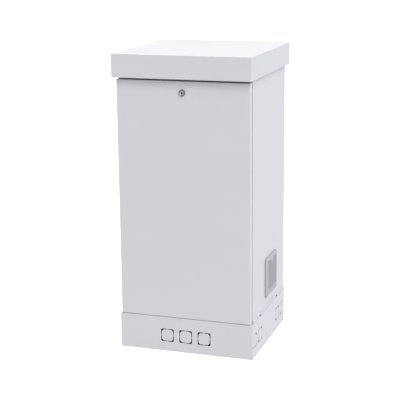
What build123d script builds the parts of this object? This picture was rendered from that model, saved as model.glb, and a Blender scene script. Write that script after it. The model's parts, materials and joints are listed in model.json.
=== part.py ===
from build123d import *
import os

# Outdoor 19-inch rack cabinet on a plinth, with a drop-down front door and a filter fan.
# Millimetres. +X is to the right of someone facing the door, +Y runs to the rear, +Z is up.
# The origin lies on the ground under the middle of the roof.

# Cabinet
TOTAL_H = 1330.0
BODY_W = 600.0
BODY_D = 554.0
PLINTH_H = 160.0
SHEET = 1.5
BEND = 3.0
WALL_FLANGE = 30.0
JAMB_LIP = 15.0

# Clearances, and how far a cut runs past the face that it opens
FIT = 0.3
RUNNING = 0.05
OVERRUN = 2.0
NEAR = 0.01

# Roof
ROOF_SIDE_OVERHANG = 12.0
ROOF_FRONT_OVERHANG = 26.0
ROOF_REAR_OVERHANG = 38.0
SKIRT_H = 102.5
ROOF_AIR_GAP = 86.5
ROOF_HEM = 8.0
ROOF_STUD_R = 4.0
ROOF_STUD_TAIL = 22.0
ROOF_STUD_IN_X = 110.0
ROOF_STUD_IN_Y = 62.0
SPACER_R = 10.0
ROOF_NUT_FLATS = 13.0
ROOF_NUT_H = 7.0

# Top pan with its air slots
EAVE_BACK = 16.0
EAVE_CLEAR = 2.5
AIR_SLOT_L = 90.0
AIR_SLOT_W = 6.0
AIR_SLOT_PITCH = 18.0
AIR_SLOTS = 7
AIR_FIELD_X = 80.0
TOP_SCREW_R = 2.5
TOP_SCREW_HEAD_R = 5.0
TOP_SCREW_HEAD_H = 2.5
TOP_SCREW_L = 9.0
TOP_SCREW_SHARES = (0.12, 0.5, 0.88)

# Front frame
HEADER_H = 54.0
HEADER_FLANGE = 40.0
SILL_H = 50.0
SILL_FLANGE = 30.0

# Front door
DOOR_D = 28.0
DOOR_STANDOFF = 4.0
DOOR_BOTTOM_GAP = 2.0
DOOR_TOP_GAP = 9.5
DOOR_HEM = 28.0
DOOR_SILL_LIP = 50.0
DOOR_CORNER_OPEN = 72.0
DOOR_CORNER_OPEN_H = 30.0
LINER_T = 1.2
LINER_LAP = 7.0
LINER_SCREW_R = 2.0
LINER_SCREW_HEAD_R = 4.0
LINER_SCREW_HEAD_H = 1.6
LINER_SCREW_L = 6.0
LINER_SCREWS_PER_SIDE = 5
GASKET_W = 12.0
GASKET_INSET = 1.0
GASKET_RISE = 25.0
GASKET_CORNER_R = 14.0

# Door hinges
HINGE_BACK = 6.5
HINGE_RISE = 8.0
HINGE_IN = 42.0
HINGE_PIN_R = 2.5
HINGE_ARM_T = 3.0
HINGE_ARM_NOSE_R = 4.5
HINGE_FOOT_T = 3.0
HINGE_FOOT_W = 27.0
HINGE_FOOT_H = 21.0
HINGE_LUG_R = 6.0
HINGE_LUG_T = 3.0
HINGE_LUG_FOOT_T = 2.0
HINGE_LUG_FOOT_W = 18.0
HINGE_LUG_FOOT_H = 20.0
HINGE_PIN_HEAD_R = 4.0
HINGE_PIN_HEAD_T = 1.5
HINGE_SCREW_R = 2.0
HINGE_SCREW_HEAD_R = 3.8
HINGE_SCREW_L = 9.0
HINGE_SCREW_PITCH = 11.0

# Cam lock
LOCK_DOWN = 49.5
LOCK_FLANGE_R = 15.0
LOCK_FLANGE_T = 8.0
LOCK_FLANGE_CHAMFER = 1.5
LOCK_BARREL_R = 11.0
LOCK_BARREL_END_GAP = 1.0
LOCK_PLUG_R = 8.0
LOCK_PLUG_RECESS = 0.6
LOCK_TAIL = 8.0
LOCK_NUT_FLATS = 26.0
LOCK_NUT_T = 5.0
KEY_SLOT_L = 9.0
KEY_SLOT_W = 2.6
KEY_SLOT_DEPTH = 4.0
CAM_GAP = 1.0
CAM_T = 3.0
CAM_W = 16.0
CAM_REACH = 32.0
CAM_BOLT_R = 2.5
CAM_BOLT_FLATS = 10.0
CAM_BOLT_HEAD = 4.0
CAM_BOLT_L = 14.0
LINER_LOCK_HOLE_R = 14.0

# Plinth
PLINTH_SIDE_STEP = 8.0
PLINTH_FRONT_SETBACK = 3.0
PLINTH_REAR_SETBACK = 21.0
PLINTH_SHEET = 2.0
PLINTH_FLANGE = 40.0
PLINTH_SEAM = 1.2
CORNER_LEG = 45.0
CORNER_T = 2.5
ANCHOR_R = 7.0
ANCHOR_IN = 58.0
ANCHOR_SETBACK = 22.0
KNOCKOUT = 60.0
KNOCKOUT_SLOT = 4.0
KNOCKOUT_CORNER_R = 5.0
KNOCKOUT_CHAMFER = 8.0
KNOCKOUT_BRIDGE = 5.0
KNOCKOUT_PITCH = 86.0
KNOCKOUT_Z = 74.0
KNOCKOUT_PAIR_OUT = 193.0
PLINTH_BOLT_R = 5.0
PLINTH_BOLT_FLATS = 17.0
PLINTH_BOLT_HEAD = 6.4
PLINTH_BOLT_TAIL = 13.0
PLINTH_NUT_H = 8.0
PLINTH_BOLT_IN = 18.0
PLINTH_BOLT_FROM_END = 70.0

# Floor, cable entry and earth stud
FLOOR_FLANGE = 24.0
SIDE_STRIP_H = 11.0
SIDE_SCREW_R = 2.0
SIDE_SCREW_HEAD_R = 4.0
SIDE_SCREW_HEAD_H = 2.5
SIDE_SCREW_L = 16.0
SIDE_SCREW_OUT = 145.0
SIDE_SCREW_FORWARD = 10.0
SIDE_SCREW_RISE = 5.5
CABLE_OPEN_W = 320.0
CABLE_OPEN_D = 140.0
CABLE_OPEN_SETBACK = 157.0
CABLE_PLATE_LAP = 18.0
CABLE_PLATE_T = 2.0
GROMMET_R = 21.0
GROMMET_LIP = 4.0
GROMMET_LIP_T = 3.0
GROMMET_BOWL_R = 16.0
GROMMET_SKIN = 1.2
GROMMET_PITCH_X = 95.0
GROMMET_PITCH_Y = 64.0
PLATE_SCREW_R = 2.5
PLATE_SCREW_HEAD_R = 4.5
PLATE_SCREW_HEAD_H = 2.5
PLATE_SCREW_L = 8.0
EARTH_STUD_R = 4.0
EARTH_STUD_H = 24.0
EARTH_STUD_IN_X = 110.0
EARTH_STUD_IN_Y = 45.0
EARTH_NUT_FLATS = 13.0
EARTH_NUT_H = 6.5

# Rear panel
REAR_PANEL_EDGE = 1.0
REAR_SCREW_R = 2.5
REAR_SCREW_HEAD_R = 5.0
REAR_SCREW_HEAD_H = 3.0
REAR_SCREW_L = 9.0
REAR_SCREW_IN = 13.0
REAR_SCREW_ROWS = 5

# Rack posts and the depth rails that carry them
RACK_UNIT = 44.45
RACK_HOLE = 9.5
RACK_HOLE_IN = 7.55
RACK_HOLE_SHARES = (1 / 7, 1 / 2, 6 / 7)
POST_FACE = 32.0
POST_SIDE = 45.0
POST_SHEET = 2.0
FRONT_POST_SETBACK = 60.0
REAR_POST_SETBACK = 82.0
RAIL_STANDOFF = 41.5
RAIL_H = 40.0
RAIL_LIP = 15.0
RAIL_END_GAP = 18.0
RAIL_SLOT_L = 26.0
RAIL_SLOT_W = 7.0
RAIL_SLOT_PITCH = 62.0
RAIL_LEVEL_SHARES = (0.285, 0.786)
POST_SCREW_R = 3.0
POST_SCREW_HEAD_R = 5.0
POST_SCREW_HEAD_H = 4.0
POST_SCREW_TAIL = 6.0
POST_SCREW_PITCH = 20.0
POST_SCREW_BACK = 24.0

# Filter unit on the right wall
FILTER_BEHIND_MIDDLE = 18.0
FILTER_RISE = 143.0
FILTER = 182.0
FILTER_CORNER_R = 6.0
FILTER_BASE_T = 7.0
FILTER_CUT = 165.0
FILTER_WALL = 2.5
FILTER_DEPTH = 32.0
FILTER_BACK_T = 3.0
FILTER_MAT_T = 14.0
COVER_T = 5.0
COVER_SLOPE = 13.0
COVER_EDGE = 0.6
LOUVRE_SIDE_MARGIN = 6.0
LOUVRE_BOTTOM_MARGIN = 14.0
LOUVRE_T = 2.6
LOUVRES = 16
TAB_W = 54.0
TAB_H = 28.0
TAB_T = 2.0

# Fan
FAN = 119.0
FAN_D = 38.0
FAN_CORNER_R = 6.0
FAN_BORE_R = 57.0
FAN_HUB_R = 22.0
FAN_HUB_T = 5.0
FAN_STRUT_W = 7.0
FAN_STRUTS = 4
FAN_SHAFT_R = 3.0
FAN_ROTOR_R = 54.5
FAN_ROTOR_HUB_R = 20.0
FAN_ROTOR_H = 26.0
FAN_ROTOR_GAP = 1.5
FAN_BLADES = 7
FAN_BLADE_T = 1.8
FAN_BLADE_W = 24.0
FAN_BLADE_PITCH = 38.0
FAN_SCREW_SPAN = 105.0
FAN_SCREW_R = 2.0
FAN_SCREW_HEAD_R = 3.6
FAN_SCREW_HEAD_H = 2.5

# Places worked out from the sizes above
WALL_X = BODY_W / 2
WALL_IN_X = WALL_X - SHEET
JAMB_X = WALL_X - WALL_FLANGE
ROOF_X = WALL_X + ROOF_SIDE_OVERHANG
ROOF_D = ROOF_FRONT_OVERHANG + DOOR_D + DOOR_STANDOFF + BODY_D + ROOF_REAR_OVERHANG
ROOF_Y = ROOF_D / 2
DOOR_Y = -ROOF_Y + ROOF_FRONT_OVERHANG
DOOR_BACK_Y = DOOR_Y + DOOR_D
EAVE_Y = DOOR_Y + EAVE_BACK
FRAME_Y = DOOR_BACK_Y + DOOR_STANDOFF
REAR_Y = FRAME_Y + BODY_D
WALL_REAR_Y = REAR_Y - SHEET
SKIRT_Z = TOTAL_H - SKIRT_H
ROOF_UNDER_Z = TOTAL_H - SHEET
TOP_PAN_Z = ROOF_UNDER_Z - ROOF_AIR_GAP
WALL_TOP_Z = TOP_PAN_Z - SHEET
FLOOR_Z = PLINTH_H + SHEET
FLOOR_TOP_Z = FLOOR_Z + SHEET
SILL_TOP_Z = FLOOR_TOP_Z + SILL_H
HEADER_Z = WALL_TOP_Z - HEADER_H
DOOR_Z = PLINTH_H + DOOR_BOTTOM_GAP
DOOR_TOP_Z = SKIRT_Z - DOOR_TOP_GAP
HINGE_Y = DOOR_Y + HINGE_BACK
HINGE_Z = DOOR_Z + HINGE_RISE
HINGE_ARM_X = WALL_X - HINGE_IN
LOCK_Z = DOOR_TOP_Z - LOCK_DOWN
LOCK_FRONT_Y = DOOR_Y - LOCK_FLANGE_T
CAM_Y = FRAME_Y + SHEET + CAM_GAP
BARREL_END_Y = FRAME_Y + LOCK_BARREL_END_GAP
GASKET_T = DOOR_STANDOFF - FIT
GASKET_X = WALL_X - GASKET_INSET
GASKET_Z = DOOR_Z + GASKET_RISE
GASKET_TOP_Z = DOOR_TOP_Z - GASKET_INSET
LINER_X = WALL_X - DOOR_HEM + LINER_LAP
LINER_Z = DOOR_Z + DOOR_SILL_LIP - LINER_LAP
LINER_TOP_Z = DOOR_TOP_Z - DOOR_HEM + LINER_LAP
PLINTH_X = WALL_X + PLINTH_SIDE_STEP
PLINTH_Y = DOOR_Y + PLINTH_FRONT_SETBACK
PLINTH_REAR_Y = REAR_Y - PLINTH_REAR_SETBACK
PLINTH_MID_Y = (PLINTH_Y + PLINTH_REAR_Y) / 2
POST_OUT_X = WALL_IN_X - RAIL_STANDOFF
POST_X = POST_OUT_X - POST_FACE
FRONT_POST_Y = FRAME_Y + FRONT_POST_SETBACK
REAR_POST_Y = REAR_Y - REAR_POST_SETBACK
RACK_UNITS = int((HEADER_Z - SILL_TOP_Z) // RACK_UNIT)
RACK_Z = (SILL_TOP_Z + HEADER_Z - RACK_UNITS * RACK_UNIT) / 2
RAIL_LEVELS = [FLOOR_TOP_Z + share * (WALL_TOP_Z - FLOOR_TOP_Z) for share in RAIL_LEVEL_SHARES]
CABLE_OPEN_Y = REAR_Y - CABLE_OPEN_SETBACK
FILTER_Y = (FRAME_Y + REAR_Y) / 2 + FILTER_BEHIND_MIDDLE
FILTER_Z = PLINTH_H + FILTER_RISE
FILTER_BASE_X = WALL_X + FILTER_BASE_T
FILTER_COVER_X = FILTER_BASE_X + COVER_T
FILTER_BACK_X = WALL_X - FILTER_DEPTH
FAN_IN_X = FILTER_BACK_X - FAN_D


# Basic solids
def block(x, y, z):
    """A box between three (low, high) pairs."""
    middle = [(low + high) / 2 for low, high in (x, y, z)]
    return Pos(*middle) * Box(x[1] - x[0], y[1] - y[0], z[1] - z[0])


def along(axis, at, start):
    """The place whose own +Z runs along an axis; at holds the other two coordinates."""
    if axis == "x":
        return Pos(start, *at) * Rot(0, 90, 0)
    if axis == "y":
        return Pos(at[0], start, at[1]) * Rot(-90, 0, 0)
    return Pos(*at, start)


def rod(axis, at, radius, span):
    """A round bar along an axis."""
    bar = Cylinder(radius, span[1] - span[0], align=(Align.CENTER, Align.CENTER, Align.MIN))
    return along(axis, at, span[0]) * bar


def hex_bar(axis, at, flats, span):
    """A six-sided bar along an axis, given across its flats."""
    section = RegularPolygon(radius=flats / 2, side_count=6, major_radius=False)
    return along(axis, at, span[0]) * extrude(section, amount=span[1] - span[0])


def mirrored(solid):
    """The same piece on the other side of the cabinet."""
    return mirror(solid, about=Plane.YZ)


def group(solids):
    """Separate solids that share one node."""
    return Compound(children=list(solids))


# Folded sheet: a block hollowed by its sheet thickness, with rounded folds
AXES = {"x": Axis.X, "y": Axis.Y, "z": Axis.Z}


def bent_block(spans, open_planes, run, radius):
    solid = block(*spans)
    edges = solid.edges().filter_by(AXES[run]) if run else solid.edges()
    folds = []
    for edge in edges:
        middle = tuple(edge.center())
        if all(abs(middle[axis] - plane) > NEAR for axis, plane in open_planes):
            folds.append(edge)
    return fillet(folds, radius)


def folded(x, y, z, open_to, run=None, hem=0.0, sheet=SHEET):
    """Sheet folded round a block, open to the named sides such as "+y".

    With run, its two ends are open too. With hem, the edges of its one open side turn
    inwards, that far from the outer face.
    """
    spans = [list(x), list(y), list(z)]
    inner = [[low + sheet, high - sheet] for low, high in spans]
    throat = [[low + hem, high - hem] for low, high in spans]
    open_planes = []
    inner_planes = []
    for side in open_to:
        axis = "xyz".index(side[1])
        end = "-+".index(side[0])
        past = OVERRUN if end else -OVERRUN
        throat[axis] = list(inner[axis])
        throat[axis][end] = spans[axis][end] + past
        if not hem:
            inner[axis][end] = spans[axis][end] + past
            open_planes.append((axis, spans[axis][end]))
            inner_planes.append((axis, inner[axis][end]))
    if run:
        axis = "xyz".index(run)
        inner[axis] = [spans[axis][0] - OVERRUN, spans[axis][1] + OVERRUN]
    shell = bent_block(spans, open_planes, run, BEND)
    shell -= bent_block(inner, inner_planes, run, BEND - sheet)
    if hem:
        shell -= block(*throat)
    return shell


def button_screw(axis, at, seat, outward, radius, head_r, head_h, length):
    """A screw with a round head on the plane at seat; outward is +1 or -1 along the axis."""
    head = sorted((seat, seat + outward * head_h))
    shank = sorted((seat, seat - outward * length))
    return rod(axis, at, head_r, head) + rod(axis, at, radius, shank)


# Plinth
def knockout(plane):
    """Slots round a square blank that can be pushed out, held by a bridge on each side."""
    blank = KNOCKOUT - 2 * KNOCKOUT_SLOT
    ring = RectangleRounded(KNOCKOUT, KNOCKOUT, KNOCKOUT_CORNER_R)
    ring -= chamfer(Rectangle(blank, blank).vertices(), KNOCKOUT_CHAMFER)
    ring -= Rectangle(KNOCKOUT_BRIDGE, KNOCKOUT)
    ring -= Rectangle(KNOCKOUT, KNOCKOUT_BRIDGE)
    return extrude(plane * ring, amount=PLINTH_SHEET + OVERRUN, both=True)


def plinth_front():
    across = (-PLINTH_X, PLINTH_X)
    depth = (PLINTH_Y, PLINTH_Y + PLINTH_FLANGE)
    panel = folded(across, depth, (0, PLINTH_H), ["+y"], run="x", sheet=PLINTH_SHEET)
    behind = (PLINTH_Y + PLINTH_SHEET, depth[1] + OVERRUN)
    flange_end = PLINTH_X - BEND - PLINTH_SEAM
    for side in ((-PLINTH_X - OVERRUN, -flange_end), (flange_end, PLINTH_X + OVERRUN)):
        panel -= block(side, behind, (-OVERRUN, PLINTH_H + OVERRUN))
    for step in (-1, 0, 1):
        centre = (step * KNOCKOUT_PITCH, PLINTH_Y, KNOCKOUT_Z)
        panel -= knockout(Plane(origin=centre, x_dir=(1, 0, 0), z_dir=(0, -1, 0)))
    for side in (-1, 1):
        at = (side * (PLINTH_X - ANCHOR_IN), PLINTH_Y + ANCHOR_SETBACK)
        panel -= rod("z", at, ANCHOR_R, (-OVERRUN, PLINTH_SHEET + OVERRUN))
    return panel


def plinth_rear():
    turned = Rot(0, 0, 180) * plinth_front()
    return Pos(0, PLINTH_Y + PLINTH_REAR_Y, 0) * turned


def plinth_bolt_places():
    first = FRAME_Y + PLINTH_BOLT_FROM_END
    last = REAR_Y - PLINTH_REAR_SETBACK - PLINTH_BOLT_FROM_END
    return [(side * (WALL_X - PLINTH_BOLT_IN), y) for side in (-1, 1) for y in (first, last)]


def drill_plinth_bolts(panel, span):
    """The same bolt holes through every sheet that the bolts pass."""
    for at in plinth_bolt_places():
        panel -= rod("z", at, PLINTH_BOLT_R + FIT, (span[0] - OVERRUN, span[1] + OVERRUN))
    return panel


def plinth_right():
    depth = (PLINTH_Y + PLINTH_SHEET + PLINTH_SEAM, PLINTH_REAR_Y - PLINTH_SHEET - PLINTH_SEAM)
    across = (PLINTH_X - PLINTH_FLANGE, PLINTH_X)
    panel = folded(across, depth, (0, PLINTH_H), ["-x"], run="y", sheet=PLINTH_SHEET)
    inside = (across[0] - OVERRUN, PLINTH_X - BEND)
    front_cut = (depth[0] - OVERRUN, PLINTH_Y + PLINTH_FLANGE + PLINTH_SEAM)
    rear_cut = (PLINTH_REAR_Y - PLINTH_FLANGE - PLINTH_SEAM, depth[1] + OVERRUN)
    for end in (front_cut, rear_cut):
        panel -= block(inside, end, (-OVERRUN, PLINTH_H + OVERRUN))
    for pair in (-KNOCKOUT_PAIR_OUT, KNOCKOUT_PAIR_OUT):
        for half in (-KNOCKOUT_PITCH / 2, KNOCKOUT_PITCH / 2):
            centre = (PLINTH_X, PLINTH_MID_Y + pair + half, KNOCKOUT_Z)
            panel -= knockout(Plane(origin=centre, x_dir=(0, 1, 0), z_dir=(1, 0, 0)))
    return drill_plinth_bolts(panel, (PLINTH_H - PLINTH_SHEET, PLINTH_H))


def corner_angles():
    """Four angles that join the plinth's panels from inside."""
    inner_x = PLINTH_X - PLINTH_SHEET
    rise = (BEND + FIT, PLINTH_H - BEND - FIT)
    front = (PLINTH_Y + PLINTH_SHEET, PLINTH_Y + PLINTH_SHEET + CORNER_LEG)
    rear = (PLINTH_REAR_Y - PLINTH_SHEET - CORNER_LEG, PLINTH_REAR_Y - PLINTH_SHEET)
    legs = (inner_x - CORNER_LEG, inner_x)
    right = [
        folded(legs, front, rise, ["-x", "+y"], run="z", sheet=CORNER_T),
        folded(legs, rear, rise, ["-x", "-y"], run="z", sheet=CORNER_T),
    ]
    return group(right + [mirrored(angle) for angle in right])


def plinth_bolts():
    bolts = []
    for at in plinth_bolt_places():
        shank = rod("z", at, PLINTH_BOLT_R, (PLINTH_H - PLINTH_BOLT_TAIL, FLOOR_TOP_Z))
        head = hex_bar("z", at, PLINTH_BOLT_FLATS, (FLOOR_TOP_Z, FLOOR_TOP_Z + PLINTH_BOLT_HEAD))
        bolts.append(shank + head)
    return group(bolts)


def plinth_nuts():
    top = PLINTH_H - PLINTH_SHEET
    nuts = []
    for at in plinth_bolt_places():
        nut = hex_bar("z", at, PLINTH_BOLT_FLATS, (top - PLINTH_NUT_H, top))
        nuts.append(nut - rod("z", at, PLINTH_BOLT_R + RUNNING, (top - PLINTH_H, top + OVERRUN)))
    return group(nuts)


# Body
def side_screw_places():
    level = PLINTH_H + SIDE_SCREW_RISE
    middle_y = PLINTH_MID_Y - SIDE_SCREW_FORWARD
    return [(middle_y + out, level) for out in (-SIDE_SCREW_OUT, SIDE_SCREW_OUT)]


def rear_screw_places():
    """Rows up both edges of the rear panel, as x and z."""
    low = PLINTH_H + REAR_PANEL_EDGE + WALL_FLANGE
    high = WALL_TOP_Z - REAR_PANEL_EDGE - WALL_FLANGE
    step = (high - low) / (REAR_SCREW_ROWS - 1)
    levels = [low + row * step for row in range(REAR_SCREW_ROWS)]
    return [(side * (WALL_X - REAR_SCREW_IN), z) for side in (-1, 1) for z in levels]


def top_screw_places():
    """Along both long edges of the top pan, as x and y."""
    side_x = WALL_X - WALL_FLANGE / 2
    places = [FRAME_Y + share * BODY_D for share in TOP_SCREW_SHARES]
    return [(side * side_x, y) for side in (-1, 1) for y in places]


def plain_right_wall():
    across = (JAMB_X, WALL_X)
    wall = folded(across, (FRAME_Y, WALL_REAR_Y), (PLINTH_H, WALL_TOP_Z), ["-x"])
    lip = (JAMB_X, JAMB_X + SHEET)
    wall += block(lip, (FRAME_Y, FRAME_Y + JAMB_LIP), (FLOOR_TOP_Z, WALL_TOP_Z))
    wall = drill_plinth_bolts(wall, (PLINTH_H, FLOOR_Z))
    for at in side_screw_places():
        wall -= rod("x", at, SIDE_SCREW_R + FIT, (WALL_IN_X - OVERRUN, WALL_X + OVERRUN))
    for at in rear_screw_places():
        wall -= rod("y", at, REAR_SCREW_R + FIT, (WALL_REAR_Y - 2 * SHEET, REAR_Y))
    for at in top_screw_places():
        wall -= rod("z", at, TOP_SCREW_R + FIT, (WALL_TOP_Z - 2 * SHEET, TOP_PAN_Z))
    return wall


def right_side_wall():
    half = FILTER_CUT / 2
    hole = block((WALL_IN_X - OVERRUN, WALL_X + OVERRUN), (FILTER_Y - half, FILTER_Y + half),
                 (FILTER_Z - half, FILTER_Z + half))
    return plain_right_wall() - hole


def left_side_wall():
    return mirrored(plain_right_wall())


def floor_pan():
    depth = (FRAME_Y + BEND + FIT, WALL_REAR_Y - BEND - FIT)
    rise = (FLOOR_Z, FLOOR_Z + FLOOR_FLANGE)
    pan = folded((-WALL_IN_X, WALL_IN_X), depth, rise, ["+z"], run="y")
    pan -= block((-CABLE_OPEN_W / 2, CABLE_OPEN_W / 2), cable_open_depth(),
                 (FLOOR_Z - OVERRUN, FLOOR_TOP_Z + OVERRUN))
    pan = drill_plinth_bolts(pan, (FLOOR_Z, FLOOR_TOP_Z))
    for at in side_screw_places():
        pan -= rod("x", at, SIDE_SCREW_R + FIT, (-WALL_X, WALL_X))
    for at in plate_screw_places():
        pan -= rod("z", at, PLATE_SCREW_R + FIT, (FLOOR_Z - OVERRUN, FLOOR_TOP_Z + OVERRUN))
    return pan


def side_strips():
    """A bar along the foot of each wall, out to the edge of the plinth."""
    strip = block((WALL_X, PLINTH_X), (FRAME_Y, PLINTH_REAR_Y), (PLINTH_H, PLINTH_H + SIDE_STRIP_H))
    for at in side_screw_places():
        strip -= rod("x", at, SIDE_SCREW_R + FIT, (WALL_X - OVERRUN, PLINTH_X + OVERRUN))
    return group([strip, mirrored(strip)])


def side_screws():
    size = (SIDE_SCREW_R, SIDE_SCREW_HEAD_R, SIDE_SCREW_HEAD_H, SIDE_SCREW_L)
    right = [button_screw("x", at, PLINTH_X, 1, *size) for at in side_screw_places()]
    return group(right + [mirrored(screw) for screw in right])


def rear_panel():
    across = (-WALL_X + REAR_PANEL_EDGE, WALL_X - REAR_PANEL_EDGE)
    rise = (PLINTH_H + REAR_PANEL_EDGE, WALL_TOP_Z - REAR_PANEL_EDGE)
    panel = block(across, (WALL_REAR_Y, REAR_Y), rise)
    panel = fillet(panel.edges().filter_by(Axis.Y), BEND)
    for at in rear_screw_places():
        panel -= rod("y", at, REAR_SCREW_R + FIT, (WALL_REAR_Y - OVERRUN, REAR_Y + OVERRUN))
    return panel


def rear_screws():
    size = (REAR_SCREW_R, REAR_SCREW_HEAD_R, REAR_SCREW_HEAD_H, REAR_SCREW_L)
    return group(button_screw("y", at, REAR_Y, 1, *size) for at in rear_screw_places())


def front_header():
    across = (-JAMB_X, JAMB_X)
    depth = (FRAME_Y, FRAME_Y + HEADER_FLANGE)
    return folded(across, depth, (HEADER_Z, WALL_TOP_Z), ["+y", "-z"], run="x")


def front_sill():
    across = (-JAMB_X, JAMB_X)
    depth = (FRAME_Y, FRAME_Y + SILL_FLANGE)
    sill = folded(across, depth, (FLOOR_TOP_Z, SILL_TOP_Z), ["+y"], run="x")
    for at in hinge_screw_places():
        sill -= rod("y", at, HINGE_SCREW_R + FIT, (FRAME_Y - OVERRUN, FRAME_Y + SHEET + OVERRUN))
    return sill


def roof_stud_places():
    first = FRAME_Y + ROOF_STUD_IN_Y
    last = REAR_Y - ROOF_STUD_IN_Y
    return [(side * (WALL_X - ROOF_STUD_IN_X), y) for side in (-1, 1) for y in (first, last)]


def top_pan():
    pan = block((-WALL_X, WALL_X), (EAVE_Y, WALL_REAR_Y), (WALL_TOP_Z, TOP_PAN_Z))
    pan += block((-WALL_X, WALL_X), (EAVE_Y, EAVE_Y + SHEET), (DOOR_TOP_Z + EAVE_CLEAR, TOP_PAN_Z))
    middle_y = (FRAME_Y + REAR_Y) / 2
    past = (WALL_TOP_Z - OVERRUN, TOP_PAN_Z + OVERRUN)
    slot = extrude(SlotOverall(AIR_SLOT_L, AIR_SLOT_W), amount=past[1] - past[0])
    for side in (-1, 1):
        for row in range(AIR_SLOTS):
            y = middle_y + (row - (AIR_SLOTS - 1) / 2) * AIR_SLOT_PITCH
            pan -= Pos(side * AIR_FIELD_X, y, past[0]) * slot
    for at in roof_stud_places():
        pan -= rod("z", at, ROOF_STUD_R + FIT, past)
    for at in top_screw_places():
        pan -= rod("z", at, TOP_SCREW_R + FIT, past)
    return pan


def top_screws():
    size = (TOP_SCREW_R, TOP_SCREW_HEAD_R, TOP_SCREW_HEAD_H, TOP_SCREW_L)
    return group(button_screw("z", at, TOP_PAN_Z, 1, *size) for at in top_screw_places())


# Roof
def roof_cover():
    return folded((-ROOF_X, ROOF_X), (-ROOF_Y, ROOF_Y), (SKIRT_Z, TOTAL_H), ["-z"], hem=ROOF_HEM)


def roof_spacers():
    spacers = []
    for at in roof_stud_places():
        tube = rod("z", at, SPACER_R, (TOP_PAN_Z, ROOF_UNDER_Z))
        spacers.append(tube - rod("z", at, ROOF_STUD_R + FIT, (WALL_TOP_Z, TOTAL_H)))
    return group(spacers)


def roof_studs():
    span = (WALL_TOP_Z - ROOF_STUD_TAIL, ROOF_UNDER_Z)
    return group(rod("z", at, ROOF_STUD_R, span) for at in roof_stud_places())


def roof_nuts():
    nuts = []
    for at in roof_stud_places():
        nut = hex_bar("z", at, ROOF_NUT_FLATS, (WALL_TOP_Z - ROOF_NUT_H, WALL_TOP_Z))
        nuts.append(nut - rod("z", at, ROOF_STUD_R + RUNNING, (HEADER_Z, TOP_PAN_Z)))
    return group(nuts)


# Front door
def front_door():
    door = folded((-WALL_X, WALL_X), (DOOR_Y, DOOR_BACK_Y), (DOOR_Z, DOOR_TOP_Z), ["+y"],
                  hem=DOOR_HEM)
    corner_x = WALL_X - DOOR_CORNER_OPEN
    door += block((-corner_x, corner_x), (DOOR_BACK_Y - SHEET, DOOR_BACK_Y),
                  (DOOR_Z + BEND, DOOR_Z + DOOR_SILL_LIP))
    inside = (DOOR_Y + SHEET, DOOR_BACK_Y + OVERRUN)
    low_end = (DOOR_Z - OVERRUN, DOOR_Z + DOOR_CORNER_OPEN_H)
    door -= block((corner_x, WALL_IN_X), inside, low_end)
    door -= block((-WALL_IN_X, -corner_x), inside, low_end)
    door -= rod("y", (0, LOCK_Z), LOCK_BARREL_R + FIT, (DOOR_Y - OVERRUN, DOOR_Y + BEND))
    for at in liner_screw_places():
        door -= rod("y", at, LINER_SCREW_R + FIT, (DOOR_BACK_Y - 2 * SHEET, DOOR_BACK_Y + OVERRUN))
    return door


def liner_screw_places():
    """Up both edges of the door's inner panel, as x and z."""
    inset = LINER_LAP / 2
    step = (LINER_TOP_Z - LINER_Z - 2 * inset) / (LINER_SCREWS_PER_SIDE - 1)
    levels = [LINER_Z + inset + row * step for row in range(LINER_SCREWS_PER_SIDE)]
    edge = LINER_X - inset
    return [(side * edge, z) for side in (-1, 1) for z in levels]


def door_inner_panel():
    liner = block((-LINER_X, LINER_X), (DOOR_BACK_Y, DOOR_BACK_Y + LINER_T), (LINER_Z, LINER_TOP_Z))
    through = (DOOR_BACK_Y - OVERRUN, DOOR_BACK_Y + LINER_T + OVERRUN)
    liner -= rod("y", (0, LOCK_Z), LINER_LOCK_HOLE_R, through)
    for at in liner_screw_places():
        liner -= rod("y", at, LINER_SCREW_R + FIT, through)
    return liner


def door_panel_screws():
    seat = DOOR_BACK_Y + LINER_T
    size = (LINER_SCREW_R, LINER_SCREW_HEAD_R, LINER_SCREW_HEAD_H, LINER_SCREW_L)
    return group(button_screw("y", at, seat, 1, *size) for at in liner_screw_places())


def door_gasket():
    depth = (FRAME_Y - GASKET_T, FRAME_Y)
    ring = block((-GASKET_X, GASKET_X), depth, (GASKET_Z, GASKET_TOP_Z))
    ring = fillet(ring.edges().filter_by(Axis.Y), GASKET_CORNER_R)
    inner_x = GASKET_X - GASKET_W
    hole = block((-inner_x, inner_x), (depth[0] - OVERRUN, depth[1] + OVERRUN),
                 (GASKET_Z + GASKET_W, GASKET_TOP_Z - GASKET_W))
    return ring - hole


# Door hinges
def hinge_screw_places():
    """Two screws through each hinge foot, as x and z."""
    foot_x = HINGE_ARM_X + HINGE_ARM_T - HINGE_FOOT_W
    first = foot_x + (HINGE_FOOT_W - HINGE_ARM_T - HINGE_SCREW_PITCH) / 2
    level = HINGE_Z + HINGE_FOOT_H / 2 - HINGE_ARM_NOSE_R
    pair = (first, first + HINGE_SCREW_PITCH)
    return [(side * x, level) for side in (-1, 1) for x in pair]


def right_hinge_bracket():
    arm = (HINGE_ARM_X, HINGE_ARM_X + HINGE_ARM_T)
    axis = (HINGE_Y, HINGE_Z)
    height = (HINGE_Z - HINGE_ARM_NOSE_R, HINGE_Z + HINGE_ARM_NOSE_R)
    bracket = block(arm, (HINGE_Y, FRAME_Y), height)
    bracket += rod("x", axis, HINGE_ARM_NOSE_R, arm)
    bracket += block((arm[1] - HINGE_FOOT_W, arm[1]), (FRAME_Y - HINGE_FOOT_T, FRAME_Y),
                     (height[0], height[0] + HINGE_FOOT_H))
    bracket -= rod("x", axis, HINGE_PIN_R + RUNNING, (arm[0] - OVERRUN, arm[1] + OVERRUN))
    for at in hinge_screw_places():
        bracket -= countersunk(at, FIT)
    return bracket


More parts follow.
